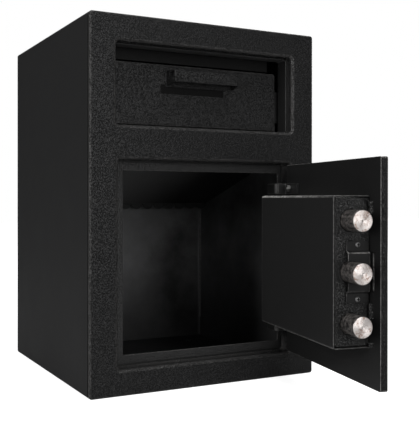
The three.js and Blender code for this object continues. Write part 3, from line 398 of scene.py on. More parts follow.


# Keeps at each point how strongly a small convex rounding turns there, for the edge wear and painted edge
# highlight
def markEdges(piece):
    shape = bmesh.new()
    shape.from_mesh(piece.data)
    layer = shape.verts.layers.float.new("edge")
    for vertex in shape.verts:
        angles = [edge.calc_face_angle_signed(0) for edge in vertex.link_edges]
        turn = math.degrees(max(angles, default=0))
        share = (turn - edgeMark["least"]) / (edgeMark["full"] - edgeMark["least"])
        vertex[layer] = min(max(share, 0), 1) if turn < edgeMark["cut"] else 0
    shape.to_mesh(piece.data)
    shape.free()


# Body and slot of a piece. Its home is the node that it stands for, or else just those two.
def homeOf(home):
    return (bodyOf[home], slotOf[home]) if home in nodes else home


# Gives a finished piece its paint, taken from its slot where none is named, and its body
def finish(piece, home, paint=None, sharp=32):
    body, slot = homeOf(home)
    markEdges(piece)
    piece.data.materials.clear()
    piece.data.materials.append(paints[paint] if paint else slotPaint(slot))
    piece.data.shade_smooth()
    piece.data.set_sharp_from_angle(angle=math.radians(sharp))
    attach(piece, body)
    if home in nodes:
        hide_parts(home)
    return piece


def build(name, form, axes, home, paint=None, cutters=()):
    piece = newPiece(name, form, axes, homeOf(home)[0])
    if cutters:
        cutWith(piece, cutters)
    return finish(piece, home, paint)


# A plate that stands for a node and is as thick as it
def buildPlate(name, axes, node, outline, holes, edge, steps=3, flat=0.4, paint=None):
    form = plate(outline, holes, *spans(shutBox(node), axes[2]), edge, steps, flat)
    return build(name, form, axes, node, paint)


# Makes the edge wear and painted edge highlight of a door piece more or less strong by the place, door closed
def weighWearAndHighlight(piece, weigh):
    back = openDoor.inverted()
    marks = piece.data.attributes["edge"].data
    for vertex, mark in zip(piece.data.vertices, marks):
        mark.value *= weigh(back @ (vertex.co / mm))


# A second finish on the faces that a test picks by their normal and centre, door closed
def repaint(piece, paint, body, test):
    back = turnOf(body).inverted()
    piece.data.materials.append(paints[paint])
    for face in piece.data.polygons:
        if test(back.to_3x3() @ face.normal, back @ (face.center / mm)):
            face.material_index = 1


# A node tree being written. A node given as an input stands for its first output in use.
class Tree:
    def __init__(self, base, inputs=(), outputs=()):
        self.base = base
        for way, sockets in (("INPUT", inputs), ("OUTPUT", outputs)):
            for name, kind in dict(sockets).items():
                base.interface.new_socket(name, in_out=way, socket_type=f"NodeSocket{kind}")
        if inputs:
            self.start = self.add("NodeGroupInput").outputs
            self.end = self.add("NodeGroupOutput")

    def feed(self, node, inputs):
        for name, value in dict(inputs).items():
            if isinstance(value, bpy.types.Node):
                value = next(output for output in value.outputs if output.enabled)
            if isinstance(value, bpy.types.NodeSocket):
                self.base.links.new(value, node.inputs[name])
            else:
                node.inputs[name].default_value = value

    def add(self, kind, inputs=(), **settings):
        node = self.base.nodes.new(kind)
        for name, value in settings.items():
            setattr(node, name, value)
        self.feed(node, inputs)
        return node

    def calc(self, operation, *values, **settings):
        return self.add("ShaderNodeMath", enumerate(values), operation=operation, **settings)

    def remap(self, value, fromRange=(0, 1), toRange=(0, 1), **settings):
        names = ("Value", "From Min", "From Max", "To Min", "To Max")
        inputs = zip(names, (value, *fromRange, *toRange))
        return self.add("ShaderNodeMapRange", inputs, **settings)

    def noise(self, place, scale, detail, **more):
        inputs = {"Vector": place, "Scale": scale, "Detail": detail, **more}
        return self.add("ShaderNodeTexNoise", inputs)

    def ramp(self, value, places, colours=((0, 0, 0, 1), (1, 1, 1, 1))):
        node = self.add("ShaderNodeValToRGB", {"Fac": value})
        for element, place, colour in zip(node.color_ramp.elements, places, colours):
            element.position = place
            element.color = colour
        return node

    def mix(self, factor, first, second, **settings):
        inputs = {"Factor": factor, "A": first, "B": second}
        return self.add("ShaderNodeMix", inputs, data_type="RGBA", **settings)

    def place(self):
        return self.add("ShaderNodeTexCoord").outputs["Object"]

    def attribute(self, name):
        return self.add("ShaderNodeAttribute", attribute_name=name).outputs["Fac"]

    # The surface's normal with a rounded edge and a relief over it
    def relief(self, height, depth, radius):
        bevel = self.add("ShaderNodeBevel", {"Radius": radius}, samples=4)
        return self.add("ShaderNodeBump", {"Height": height, "Distance": depth, "Normal": bevel})

    def group(self, tree, inputs):
        return self.add("ShaderNodeGroup", inputs, node_tree=tree.base).outputs


# A colour from one level or from three
def rgba(level):
    return (*(level if isinstance(level, tuple) else (level,) * 3), 1)


def shaderGroup(name, inputs, outputs):
    return Tree(bpy.data.node_groups.new(name, "ShaderNodeTree"), inputs, outputs)


# Pebbled paint: pits between raised grains, with a finer roughness over both. The pits are painted darker and the
# grains lighter, as painted shade and painted highlight, with painted glints as light dots on the grain tops
pebble = {
    "pits": (0.38, 0.50),  # the noise, from the bottom of a pit to the top of a grain
    "finer": 1.9,
    "fineShare": 1.1,
    "shade": (0.2, 1.15),
    "roughness": (0.7, 0.2),
    "speckleStart": (0.58, 0.66),
    "speckle": (0.14, 0.14, 0.137, 1),
}


def makePebbleGroup():
    inputs = {"Colour": "Color", "Grain size": "Float", "Height": "Float",
              "Edge radius": "Float", "Speckle": "Float"}
    outputs = {"Colour": "Color", "Roughness": "Float", "Normal": "Vector"}
    tree = shaderGroup("pebbledPaint", inputs, outputs)
    start, place = tree.start, tree.place()
    scale = tree.calc("DIVIDE", 1.0, start["Grain size"])
    grain = tree.noise(place, scale, 1.0)
    pits = tree.ramp(grain, pebble["pits"])
    fine = tree.noise(place, tree.calc("MULTIPLY", scale, pebble["finer"]), 1.0)
    height = tree.calc("MULTIPLY_ADD", fine, pebble["fineShare"], pits)
    # painted shade in the pits and painted highlight on the grains
    shade = tree.remap(pits, toRange=pebble["shade"])
    tone = tree.mix(1.0, start["Colour"], shade, blend_type="MULTIPLY")
    # painted glints: light dots where the grain noise is highest
    dots = tree.calc("MULTIPLY", tree.remap(grain, pebble["speckleStart"]), start["Speckle"])
    tree.feed(tree.end, {
        "Colour": tree.mix(dots, tone, pebble["speckle"]),
        "Roughness": tree.remap(pits, toRange=pebble["roughness"]),
        "Normal": tree.relief(height, start["Height"], start["Edge radius"]),
    })
    return tree


# Smooth paint: faint orange peel, clouded gloss and a rounded edge
satin = {"peelScale": 320, "peelDepth": 0.00006, "cloudScale": 14, "clouding": (-0.06, 0.06)}


def makeSatinGroup():
    inputs = {"Roughness": "Float", "Edge radius": "Float"}
    tree = shaderGroup("satinPaint", inputs, {"Roughness": "Float", "Normal": "Vector"})
    place = tree.place()
    peel = tree.noise(place, satin["peelScale"], 1.0)
    cloud = tree.remap(tree.noise(place, satin["cloudScale"], 4.0), toRange=satin["clouding"])
    tree.feed(tree.end, {
        "Roughness": tree.calc("ADD", tree.start["Roughness"], cloud),
        "Normal": tree.relief(peel, satin["peelDepth"], tree.start["Edge radius"]),
    })
    return tree


# Edge wear and painted edge highlight: lighter, rubbed, dotted lines where the edge mark is high
wearAndHighlight = {"dots": (0.36, 0.62), "rubbed": (0.15, 1.0), "satinDots": 0.004, "worn": (0.2, 0.195, 0.19)}


def makeWearAndHighlightGroup():
    tree = shaderGroup("edgeWear", {"Amount": "Float", "Dot size": "Float"}, {"Mask": "Float"})
    scale = tree.calc("DIVIDE", 1.0, tree.start["Dot size"])
    rubbed = tree.remap(tree.noise(tree.place(), scale, 2.0), wearAndHighlight["dots"], wearAndHighlight["rubbed"])
    worn = tree.calc("MULTIPLY", tree.attribute("edge"), rubbed)
    mask = tree.calc("MULTIPLY", worn, tree.start["Amount"], use_clamp=True)
    tree.feed(tree.end, {"Mask": mask})
    return tree


pebbleGroup = makePebbleGroup()
satinGroup = makeSatinGroup()
wearAndHighlightGroup = makeWearAndHighlightGroup()


class Shader(Tree):
    def __init__(self, name):
        self.material = bpy.data.materials.new(name)
        self.material.use_nodes = True
        super().__init__(self.material.node_tree)
        self.surface = self.base.nodes["Principled BSDF"]

    def give(self, inputs):
        self.feed(self.surface, inputs)
        return self.material

    # A paint with its edge wear and painted edge highlight, in a light bare colour. One without wear stays as it
    # is.
    def worn(self, paint, amount, dotSize, bare=wearAndHighlight["worn"]):
        if not amount:
            return paint
        mask = self.group(wearAndHighlightGroup, {"Amount": amount, "Dot size": dotSize})["Mask"]
        return self.mix(mask, paint, rgba(bare))


def pebbledPaint(name, level, grain, height, radius, amount, gloss, speckle):
    shader = Shader(name)
    inputs = {"Colour": rgba(level), "Grain size": grain, "Height": height}
    paint = shader.group(pebbleGroup, inputs | {"Edge radius": radius, "Speckle": speckle})
    return shader.give({
        "Base Color": shader.worn(paint["Colour"], amount, grain),
        "Specular IOR Level": gloss,
        "Roughness": paint["Roughness"],
        "Normal": paint["Normal"],
    })


# A shader with everything of the smooth paint but its colour
def smoothShader(name, roughness, radius):
    shader = Shader(name)
    coat = shader.group(satinGroup, {"Roughness": roughness, "Edge radius": radius})
    shader.give({"Roughness": coat["Roughness"], "Normal": coat["Normal"]})
    return shader


def satinPaint(name, level, roughness, gloss, amount, radius=0.0006, bare=wearAndHighlight["worn"]):
    shader = smoothShader(name, roughness, radius)
    colour = shader.worn(rgba(level), amount, wearAndHighlight["satinDots"], bare)
    return shader.give({"Base Color": colour, "Specular IOR Level": gloss})


def plainMetal(name, level, roughness, radius=0.0004):
    shader = smoothShader(name, roughness, radius)
    return shader.give({"Base Color": rgba(level), "Metallic": 1.0})


# Smooth paint that grows darker along x, as under the chute: painted light on the left that fades to painted shade
# on the right
graded = {"reach": (-0.08, 0.1), "roughness": 0.55, "gloss": 0.25, "radius": 0.0006}


def gradedPaint(name, light, dark):
    shader = smoothShader(name, graded["roughness"], graded["radius"])
    across = shader.add("ShaderNodeSeparateXYZ", {0: shader.place()}).outputs["X"]
    colour = shader.mix(shader.remap(across, graded["reach"]), rgba(light), rgba(dark))
    return shader.give({"Base Color": colour, "Specular IOR Level": graded["gloss"]})


# The cabinet's sheet: smooth outside, and duller, lighter and clouded inside. The noise is kept to a share, and to
# it is added painted light that makes the back's left and the right wall lighter. Inside, the paint grows darker
# towards the floor: painted shade.
cabinet = {
    "outside": (0.0088, 0.0088, 0.009, 1),
    "inside": (0.108, 0.108, 0.11, 1),
    "stain": (0.014, 0.014, 0.014, 1),
    "stainRamp": (0.44, 0.74),
    "stainSize": 0.08,
    "stainShare": (0.28, 0.72),
    "roughness": 0.62,
    "radius": 0.0006,
    "gloss": 0.16,
    "insideX": 0.1752,
    "insideY": 0.1765,
    "insideZ": (0.0025, 0.5055),
    # painted light on the inside's left, fading out to the right
    "fadeX": (0.02, 0.12),
    "fade": 0.2,
    # painted light on the right wall, mostly fading out higher up
    "wallX": (0.168, 0.172),
    "wall": 0.22,
    "wallZ": (0.14, 0.25),
    "wallLeft": 0.1,
    # painted shade towards the floor
    "lowZ": (0.05, 0.16),
    "lowShade": 0.4,
}


def cabinetPaint(name):
    size = cabinet
    shader = smoothShader(name, size["roughness"], size["radius"])
    place = shader.place()
    x, y, z = shader.add("ShaderNodeSeparateXYZ", {0: place}).outputs
    inside = shader.calc("LESS_THAN", shader.calc("ABSOLUTE", x), size["insideX"])
    for test, along, bound in (
        ("GREATER_THAN", z, size["insideZ"][0]),
        ("LESS_THAN", z, size["insideZ"][1]),
        ("LESS_THAN", y, size["insideY"]),
    ):
        inside = shader.calc("MULTIPLY", inside, shader.calc(test, along, bound))
    cloud = shader.noise(place, 1 / size["stainSize"], 5.0, Roughness=0.6)
    share = shader.remap(cloud, toRange=size["stainShare"])
    # painted light on the back's left and on the right wall
    fade = shader.remap(x, size["fadeX"], (size["fade"], 0.0))
    wall = shader.remap(x, size["wallX"], (0, size["wall"]))
    lower = shader.remap(z, size["wallZ"], (1.0, size["wallLeft"]))
    share = shader.calc("MULTIPLY_ADD", wall, lower, shader.calc("ADD", share, fade))
    # the clouds, lifted by the painted light towards the lighter inside colour
    stain = shader.ramp(share, size["stainRamp"], (size["stain"], size["inside"]))
    # painted shade: darker towards the floor
    rise = shader.remap(z, size["lowZ"], (size["lowShade"], 1))
    shaded = shader.mix(1.0, stain, rise, blend_type="MULTIPLY")
    colour = shader.mix(inside, size["outside"], shaded)
    return shader.give({"Base Color": colour, "Specular IOR Level": size["gloss"]})


# Turned steel: a bright faced tip with fine rings and warm clouds, and a dark oily shaft
# with streaks along it
turnedSteel = {
    "light": (0.58, 0.54, 0.52, 1),
    "dark": (0.3, 0.215, 0.18, 1),
    "ramp": (0.36, 0.5),
    "shaftLight": (0.12, 0.11, 0.104, 1),
    "shaftDark": (0.008, 0.0072, 0.007, 1),
    "shaftRamp": (0.4, 0.64),
    "shaftMetal": 0.25,
    "roughness": (0.48, 0.22),
    "cloudSize": 0.005,
    "streakSize": 0.0028,
    "streakLength": 0.045,
    "shaftStart": (12.2, 13.2),
    "ringPitch": 0.45,
    "ringDepth": 0.000018,
}


def turnedMetal(name):
    size = turnedSteel
    shader = Shader(name)
    place, along = shader.place(), shader.attribute("along")
    cloud = shader.noise(place, 1 / size["cloudSize"], 6.0, Roughness=0.65, Distortion=1.2)
    thin = 1 / size["streakSize"]
    stretched = shader.add("ShaderNodeMapping", {
        "Vector": place,
        "Rotation": (0, 0, -openDoor.to_euler().z),
        "Scale": (1 / size["streakLength"], thin, thin),
    })
    streak = shader.noise(stretched, 1.0, 3.0)
    onShaft = shader.remap(along, size["shaftStart"])
    tip = shader.ramp(cloud, size["ramp"], (size["dark"], size["light"]))
    shaft = shader.ramp(streak, size["shaftRamp"], (size["shaftDark"], size["shaftLight"]))
    wave = shader.calc("SINE", shader.calc("MULTIPLY", along, 2 * math.pi / size["ringPitch"]))
    return shader.give({
        "Base Color": shader.mix(onShaft, tip, shaft),
        "Metallic": shader.remap(onShaft, toRange=(1.0, size["shaftMetal"])),
        "Roughness": shader.remap(cloud, toRange=size["roughness"]),
        "Normal": shader.add("ShaderNodeBump", {"Height": wave, "Distance": size["ringDepth"]}),
    })


# Colour, grain size, grain height, edge radius, edge wear with painted edge highlight, gloss and painted glints
pebbledPaints = {
    "texturedBlack": ((0.009, 0.009, 0.0092), 0.0018, 0.0003, 0.0008, 0.3, 0.16, 0.08),
    "frameBlack": (0.0245, 0.0016, 0.00018, 0.0008, 0.15, 0.17, 0.02),
    "drawerBlack": ((0.0145, 0.0145, 0.0147), 0.0017, 0.0002, 0.0008, 0.2, 0.16, 0.08),
    "pullBlack": ((0.014, 0.014, 0.0142), 0.0017, 0.00018, 0.0008, 0.0, 0.12, 0.12),
    "finePebble": (0.0098, 0.0015, 0.0002, 0.0006, 0.05, 0.17, 0.24),
    "edgePebble": (0.0065, 0.0015, 0.00022, 0.0006, 1.7, 0.12, 0.15),
    "weldPaint": (0.014, 0.0016, 0.0005, 0.0004, 0.0, 0.5, 0.8),
}
# Colour, roughness, gloss and edge wear with painted edge highlight, and for some the edge radius and the light
# edge colour, which is partly a painted highlight
satinPaints = {
    "satinBlack": (0.0082, 0.42, 0.25, 0.35),
    "dialBlack": (0.012, 0.25, 0.25, 0.9),
    "baffleBlack": (0.0032, 0.6, 0.12, 0.1),
    "linerBlack": (0.009, 0.42, 0.35, 0.05),
    "linerTop": (0.035, 0.5, 0.35, 0.0),
    "strapBlack": (0.0105, 0.6, 0.12, 0.5),
    # the cover's near-white edge colour is a painted highlight along its edges
    "coverBlack": (0.0112, 0.45, 0.25, 0.16, 0.0006, (0.6, 0.59, 0.57)),
    "bareBlack": (0.002, 0.5, 0.08, 0.0),
    "tabBlack": (0.0025, 0.6, 0.08, 0.8),
    "recessBlack": (0.0012, 0.7, 0.05, 0.0),
    "cornerPaint": (0.03, 0.35, 0.5, 0.2),
    "markPaint": ((0.72, 0.72, 0.7), 0.5, 0.4, 0.0, 0.0001),
}
# Colour and roughness
metals = {
    "plainSteel": ((0.42, 0.42, 0.41), 0.35),
    "zincPlate": ((0.13, 0.13, 0.127), 0.45),
    "blackZinc": (0.2, 0.6),
    "satinNickel": ((0.6, 0.58, 0.55), 0.28),
    "brass": ((0.55, 0.4, 0.18), 0.3),
}
# Light and dark colour
# painted light at the chute's left, fading to painted shade at its right
gradedPaints = {"chuteUnder": (0.13, 0.007), "chuteEdge": (0.013, 0.003)}

paints = {
    "cabinetSteel": cabinetPaint("cabinetSteel"),
    "turnedSteel": turnedMetal("turnedSteel"),
}
for make, table in (
    (pebbledPaint, pebbledPaints),
    (satinPaint, satinPaints),
    (plainMetal, metals),
    (gradedPaint, gradedPaints),
):
    paints |= {name: make(name, *values) for name, values in table.items()}


# The paint that a slot is named after, so textured_black gives texturedBlack
def slotPaint(slot):
    first, *rest = slot.split("_")
    return paints[first + "".join(word.capitalize() for word in rest)]


ownPaint = {
    "body_shell": "cabinetSteel",
    "back_panel": "cabinetSteel",
    "anti_fish_plate": "baffleBlack",
}
for name, piece in nodes.items():
    own = paints[ownPaint[name]] if name in ownPaint else slotPaint(slotOf[name])
    piece.data.materials.clear()
    piece.data.materials.append(own)
print("materials made")


# Geometry node trees. A modifier takes each input by its socket's identifier.
def growTree(name, inputs):
    base = bpy.data.node_groups.new(name, "GeometryNodeTree")
    base.is_modifier = True
    inputs = {"Geometry": "Geometry"} | inputs | {"Finish": "Material"}
    return Tree(base, inputs, {"Geometry": "Geometry"})


def endTree(tree, shape):
    real = tree.add("GeometryNodeRealizeInstances", {"Geometry": shape})
    inputs = {"Geometry": real, "Material": tree.start["Finish"]}
    tree.feed(tree.end, {"Geometry": tree.add("GeometryNodeSetMaterial", inputs)})
    return tree


# A piece that a tree grows from the points or the bare edge of a form
def grow(name, form, tree, inputs, home, paint, sharp=32):
    piece = newPiece(name, form, "xyz", homeOf(home)[0])
    step = piece.modifiers.new("grow", "NODES")
    step.node_group = tree.base
    values = inputs | {"Finish": paints[paint]}
    for item in tree.base.interface.items_tree:
        if item.item_type == "SOCKET" and item.in_out == "INPUT" and item.name in values:
            step[item.identifier] = values[item.name]
    settleShape(piece)
    return finish(piece, home, paint, sharp)


# A weld bead along a line: a rippled, uneven tube
def makeWeldTree():
    names = ("Pitch", "Width", "Ripple", "Unevenness", "Seed")
    tree = growTree("weldBead", dict.fromkeys(names, "Float"))
    start = tree.start
    curve = tree.add("GeometryNodeMeshToCurve", {"Mesh": start["Geometry"]})
    length = tree.calc("DIVIDE", start["Pitch"], weld["perRipple"])
    inputs = {"Curve": curve, "Length": length}
    line = tree.add("GeometryNodeResampleCurve", inputs, mode="LENGTH")
    along = tree.add("GeometryNodeSplineParameter").outputs["Length"]
    turns = tree.calc("DIVIDE", along, start["Pitch"])
    wave = tree.calc("SINE", tree.calc("MULTIPLY", turns, 2 * math.pi))
    ripple = tree.calc("MULTIPLY_ADD", wave, start["Ripple"], 1.0)
    inputs = {"Scale": weld["lumpScale"], "W": start["Seed"]}
    lumps = tree.add("ShaderNodeTexNoise", inputs, noise_dimensions="4D")
    lumps = tree.calc("SUBTRACT", lumps, 0.5)
    uneven = tree.calc("MULTIPLY_ADD", lumps, start["Unevenness"], ripple)
    radius = tree.calc("MULTIPLY", uneven, tree.calc("MULTIPLY", start["Width"], 0.5))
    inputs = {"Resolution": weld["sides"], "Radius": 1.0}
    section = tree.add("GeometryNodeCurvePrimitiveCircle", inputs)
    inputs = {"Curve": line, "Profile Curve": section, "Scale": radius, "Fill Caps": True}
    return endTree(tree, tree.add("GeometryNodeCurveToMesh", inputs))


# Marks round a dial: bars on the points of a ring, a longer one at each tenth
def makeDialTree():
    inputs = {"Bar": "Vector", "Long share": "Float", "Turn": "Vector", "Centre": "Vector"}
    tree = growTree("dialMarks", inputs)
    start = tree.start
    bar = tree.add("GeometryNodeMeshCube", {"Size": start["Bar"]})
    bar = tree.add("GeometryNodeTransform", {"Geometry": bar, "Rotation": start["Turn"]})
    ends = {0: tree.add("GeometryNodeInputPosition"), 1: start["Centre"]}
    outward = tree.add("ShaderNodeVectorMath", ends, operation="SUBTRACT")
    aim = tree.add("FunctionNodeAlignRotationToVector", {"Vector": outward}, axis="Z")
    digit = tree.calc("MODULO", tree.add("GeometryNodeInputIndex"), 10.0)
    isTenth = tree.calc("LESS_THAN", digit, 0.5)
    share = tree.remap(isTenth, toRange=(1.0, start["Long share"]))
    size = tree.add("ShaderNodeCombineXYZ", {"X": 1.0, "Y": 1.0, "Z": share})
    inputs = {"Points": start["Geometry"], "Instance": bar, "Rotation": aim, "Scale": size}
    return endTree(tree, tree.add("GeometryNodeInstanceOnPoints", inputs))


# Places taken from the solids, in millimetres, door closed
doorLow, doorHigh = doorBox = shutBox("door_plate")
shellLow, shellHigh = shutBox("body_shell")
stopLow, stopHigh = stopBox = shutBox("door_stop_frame")
linerSpans = spans(shutBox("drawer_liner"))
levelNames = ("upper", "middle", "lower")
endNames = ("upper", "lower")
armBoxes = [shutBox(f"hinge_arm_{name}") for name in endNames]
boltBoxes = [shutBox(f"bolt_{name}") for name in levelNames]
armLevels = [middle(box, "z")[0] for box in armBoxes]
boltLevels = [middle(box, "z")[0] for box in boltBoxes]
boltY = middle(boltBoxes[0], "y")[0]
workZ = boltLevels[1]
frontY = shutBox("front_frame")[0].y
gaps = {"doorSide": 5.5, "doorEnd": 2.75, "liner": 0.3}
doorX = (doorLow.x - gaps["doorSide"], doorHigh.x + gaps["doorSide"])
doorway = (*doorX, doorLow.z - gaps["doorEnd"], doorHigh.z + gaps["doorEnd"])
slotUpper = grown(linerSpans, gaps["liner"])

# Front pressing: a flat sheet with a turned rim and two rounded returns
frontSheet = {
    "thickness": 2.5,
    "corner": 4,
    "rim": 2.5,
    "rimDepth": 8,
    "joggle": 1.0,
    "joggleStart": 5.6,
    "lip": 4.5,
    "openingCorner": 5,
    "returns": (23.7, 37.0),
    "returnChamfer": (0.4, 0.5),
    "flat": 0.6,
    "steps": 7,
    "slotX": (-6, 5.5),  # from the doorway's hinge side
    "slotY": (-18.7, 6),  # from the stop frame's front
}
armSlot = {"half": 9.0}


# Blocks that cut the slots for the two hinge arms
def armSlots(x0, x1, y0, y1):
    blocks = []
    for level in armLevels:
        low, high = level - armSlot["half"], level + armSlot["half"]
        blocks.append(newPiece("slotCutter", block(x0, x1, y0, y1, low, high)))
    return blocks


def makeFrontFrame():
    size = frontSheet
    thickness, flat, rim, lip = (size[key] for key in ("thickness", "flat", "rim", "lip"))
    back, rimEnd = frontY + thickness, frontY + size["rimDepth"]
    joggle, joggleEnd = size["joggle"], frontY + size["joggleStart"]
    form = Form()

    def bend(radius, inset, y):
        return [(inset + a, y + b) for a, b in quarter(radius, size["steps"])]

    stations = [(rim + flat, frontY), *bend(rim, 0, frontY)]
    stations += [(0, joggleEnd - joggle), (joggle, joggleEnd), (joggle, rimEnd)]
    stations += [(thickness, rimEnd), (thickness, back), (thickness + flat, back)]
    outline = rounded(shellLow.x, shellHigh.x, 0, shellHigh.z, size["corner"])
    ends = [form.sweep(outline, -1, stations)]
    chamferIn, chamferUp = size["returnChamfer"]
    for box, depth in zip((doorway, slotUpper), size["returns"]):
        end = frontY + depth
        stations = [(lip + flat, frontY), *bend(lip, 0, frontY)]
        stations += [(0, end - chamferUp), (chamferIn, end), (thickness, end)]
        stations += bend(lip - thickness, thickness, back)[::-1] + [(lip + flat, back)]
        ends.append(form.sweep(rounded(*box, size["openingCorner"]), 1, stations))
    for rings in zip(*ends):
        form.cap(rings)
    slotX = [doorway[1] + x for x in size["slotX"]]
    slotY = [stopLow.y + y for y in size["slotY"]]
    build("frontPressing", form, "xzy", "front_frame", None, armSlots(*slotX, *slotY))


makeFrontFrame()

# Stop frame: a rounded window, a groove beside the return and mitred corners
stopFrame = {
    "window": (16.5, 7.0, 14.0),  # from the doorway at the free side, hinge side and ends
    "corner": 2.5,
    "edge": 1.0,
    "grooveWidth": 2.2,
    "grooveDepth": 2.0,
    "openingCorner": 5,
    "mitreWidth": 0.5,
    "mitreDepth": 0.6,
    "mitreStart": -1.0,
    "mitreLength": 26,
    "slotReach": (-6, 28),
    "past": 6,
}


def makeStopFrame():
    size = stopFrame
    free, hinge, end = size["window"]
    left, right = doorway[0] + free, doorway[1] - hinge
    low, high = doorway[2] + end, doorway[3] - end
    hole = rounded(left, right, low, high, size["corner"])
    form = plate(rectangle(*spans(stopBox)), [hole], stopLow.y, stopHigh.y, size["edge"], 4)
    piece = newPiece("stopFrame", form, "xzy")
    width, corner = size["grooveWidth"], size["openingCorner"]
    outer = rounded(*doorway, corner)
    inner = rounded(*grown(doorway, -width), corner - width)
    start = stopLow.y - size["past"]
    groove = plate(outer, [inner], start, stopLow.y + size["grooveDepth"], 0, 1, 0)
    cutters = [newPiece("grooveCutter", groove, "xzy")]
    slotX = [right + reach for reach in size["slotReach"]]
    cutters += armSlots(*slotX, start, stopHigh.y + size["past"])
    cutWith(piece, cutters)
    for u, acrossWay in ((left, -1), (right, 1)):
        for v, upWay in ((low, -1), (high, 1)):
            along = Vector((acrossWay, upWay)).normalized()
            side = Vector((-along.y, along.x)) * size["mitreWidth"] / 2
            near = Vector((u, v)) + along * size["mitreStart"]
            far = near + along * size["mitreLength"]
            loop = [near - side, far - side, far + side, near + side]
            cutter = prism(loop, start, stopLow.y + size["mitreDepth"])
            cutWith(piece, [newPiece("mitreCutter", cutter, "xzy")])
    finish(piece, "door_stop_frame", "frameBlack")


makeStopFrame()

# Sleeve that lines the upper opening. Its downward-facing faces get a lighter paint than its sides: painted light.
liner = {"sheet": 1.2, "corner": 4.7, "edge": 0.45, "topNormal": -0.7}


def makeLiner():
    sheet, corner = liner["sheet"], liner["corner"]
    outer = rounded(*linerSpans, corner)
    inner = rounded(*grown(linerSpans, -sheet), corner - sheet)
    values = (liner["edge"], 3, thinFlat, "linerBlack")
    piece = buildPlate("drawerLiner", "xzy", "drawer_liner", outer, [inner], *values)
    repaint(piece, "linerTop", "cabinet", lambda normal, _: normal.z < liner["topNormal"])


makeLiner()

# Drawer face with a soft edge
drawerFace = {"corner": 3.0, "edge": 1.3, "flat": 0.8}
faceBox = shutBox("drawer_face")


def makeDrawerFace():
    outline = rounded(*spans(faceBox), drawerFace["corner"])
    values = (drawerFace["edge"], 5, drawerFace["flat"], "drawerBlack")
    buildPlate("drawerFace", "xzy", "drawer_face", outline, [], *values)


makeDrawerFace()

# Pull: a hood of bent sheet with an open underside, on a thin plate with a bare strip
pull = {
    "taper": 3.0,
    "underSlope": 3.6,
    "sheet": 1.8,
    "corner": 2.2,
    "topEdge": 1.3,
    "flat": 0.5,
    "rim": 0.35,
    "steps": 6,
    "reliefY": (4.0, 14.5),  # from the front
    "reliefZ": (-8.0, -1.6),  # from the top
    "reliefX": (-2, 5),  # from the left, and mirrored
    "plateSides": (-3.0, -1.0),
    "plateEnds": (-1.4, 1.2),
    "plateThickness": 1.1,
    "plateCorner": 3.0,
    "plateEdge": 0.4,
    "bare": (-59, 43, 411, 424),
    "bareThickness": 0.4,
    "bareCorner": 0.8,
    "bareEdge": 0.15,
    "sunk": 0.2,
}


def makePull():
    size = pull
    (left, front, low), (right, back, top) = shutBox("drawer_pull")
    taper, radius = size["taper"], size["topEdge"]
    ends = [(left, back), (left + taper, front), (right - taper, front), (right, back)]
    line = bentLine(ends, size["corner"], size["steps"])
    form = Form()

    # One station of the hood, from the top edge down to the sloping underside
    def station(inset, level, slope=0):
        moved = offset(line, -inset, closed=False)
        moved[0] = (moved[0][0], back)
        moved[-1] = (moved[-1][0], back)
        return form.ring([(x, y, level + slope * (back - y)) for x, y in moved])

    rings = [station(radius + size["flat"], top)]
    rings += [station(inset, top - drop) for inset, drop in quarter(radius, size["steps"])]
    rings.append(station(0, top - radius - size["flat"]))
    rings.append(station(0, low, size["underSlope"] / (back - front)))
    form.bridgeAll(rings, closed=False)
    form.cap([rings[0]], whole=False)
    piece = newPiece("drawerPull", form, "xyz", "drawer")
    thicken(piece, size["sheet"], size["rim"])
    reliefY = [front + y for y in size["reliefY"]]
    reliefZ = [top + z for z in size["reliefZ"]]
    x0, x1 = size["reliefX"]
    for reliefX in ((left + x0, left + x1), (right - x1, right - x0)):
        cutWith(piece, [newPiece("reliefCutter", block(*reliefX, *reliefY, *reliefZ))])
    finish(piece, "drawer_pull", "pullBlack")
    sides = left + size["plateSides"][0], right + size["plateSides"][1]
    ends = low + size["plateEnds"][0], top + size["plateEnds"][1]
    y = faceBox[0].y
    sunk = y + size["sunk"]
    outline = rounded(*sides, *ends, size["plateCorner"])
    form = plate(outline, [], y - size["plateThickness"], sunk, size["plateEdge"])
    build("pullPlate", form, "xzy", ("drawer", "textured_black"), "pullBlack")
    outline = rounded(*size["bare"], size["bareCorner"], 4)
    form = plate(outline, [], y - size["bareThickness"], sunk, size["bareEdge"], 2)
    build("barePlate", form, "xzy", ("drawer", "satin_black"), "bareBlack")


makePull()

# Deposit chute with a turned-down lip of round lobes
chute = {
    "sheet": 1.5,
    "below": 10.8,  # under the upper opening
    "frontFlange": 14,
    "drop": 95,
    "bend": 0.6,
    "sideFlange": 18,
    "flangeInset": 1,
    "flangeEdge": 0.2,
    "foot": 0.5,
    "lobes": 16,
    "lobeDepth": 11,
    "lobeSteps": 20,
    "lipTop": 2,
}


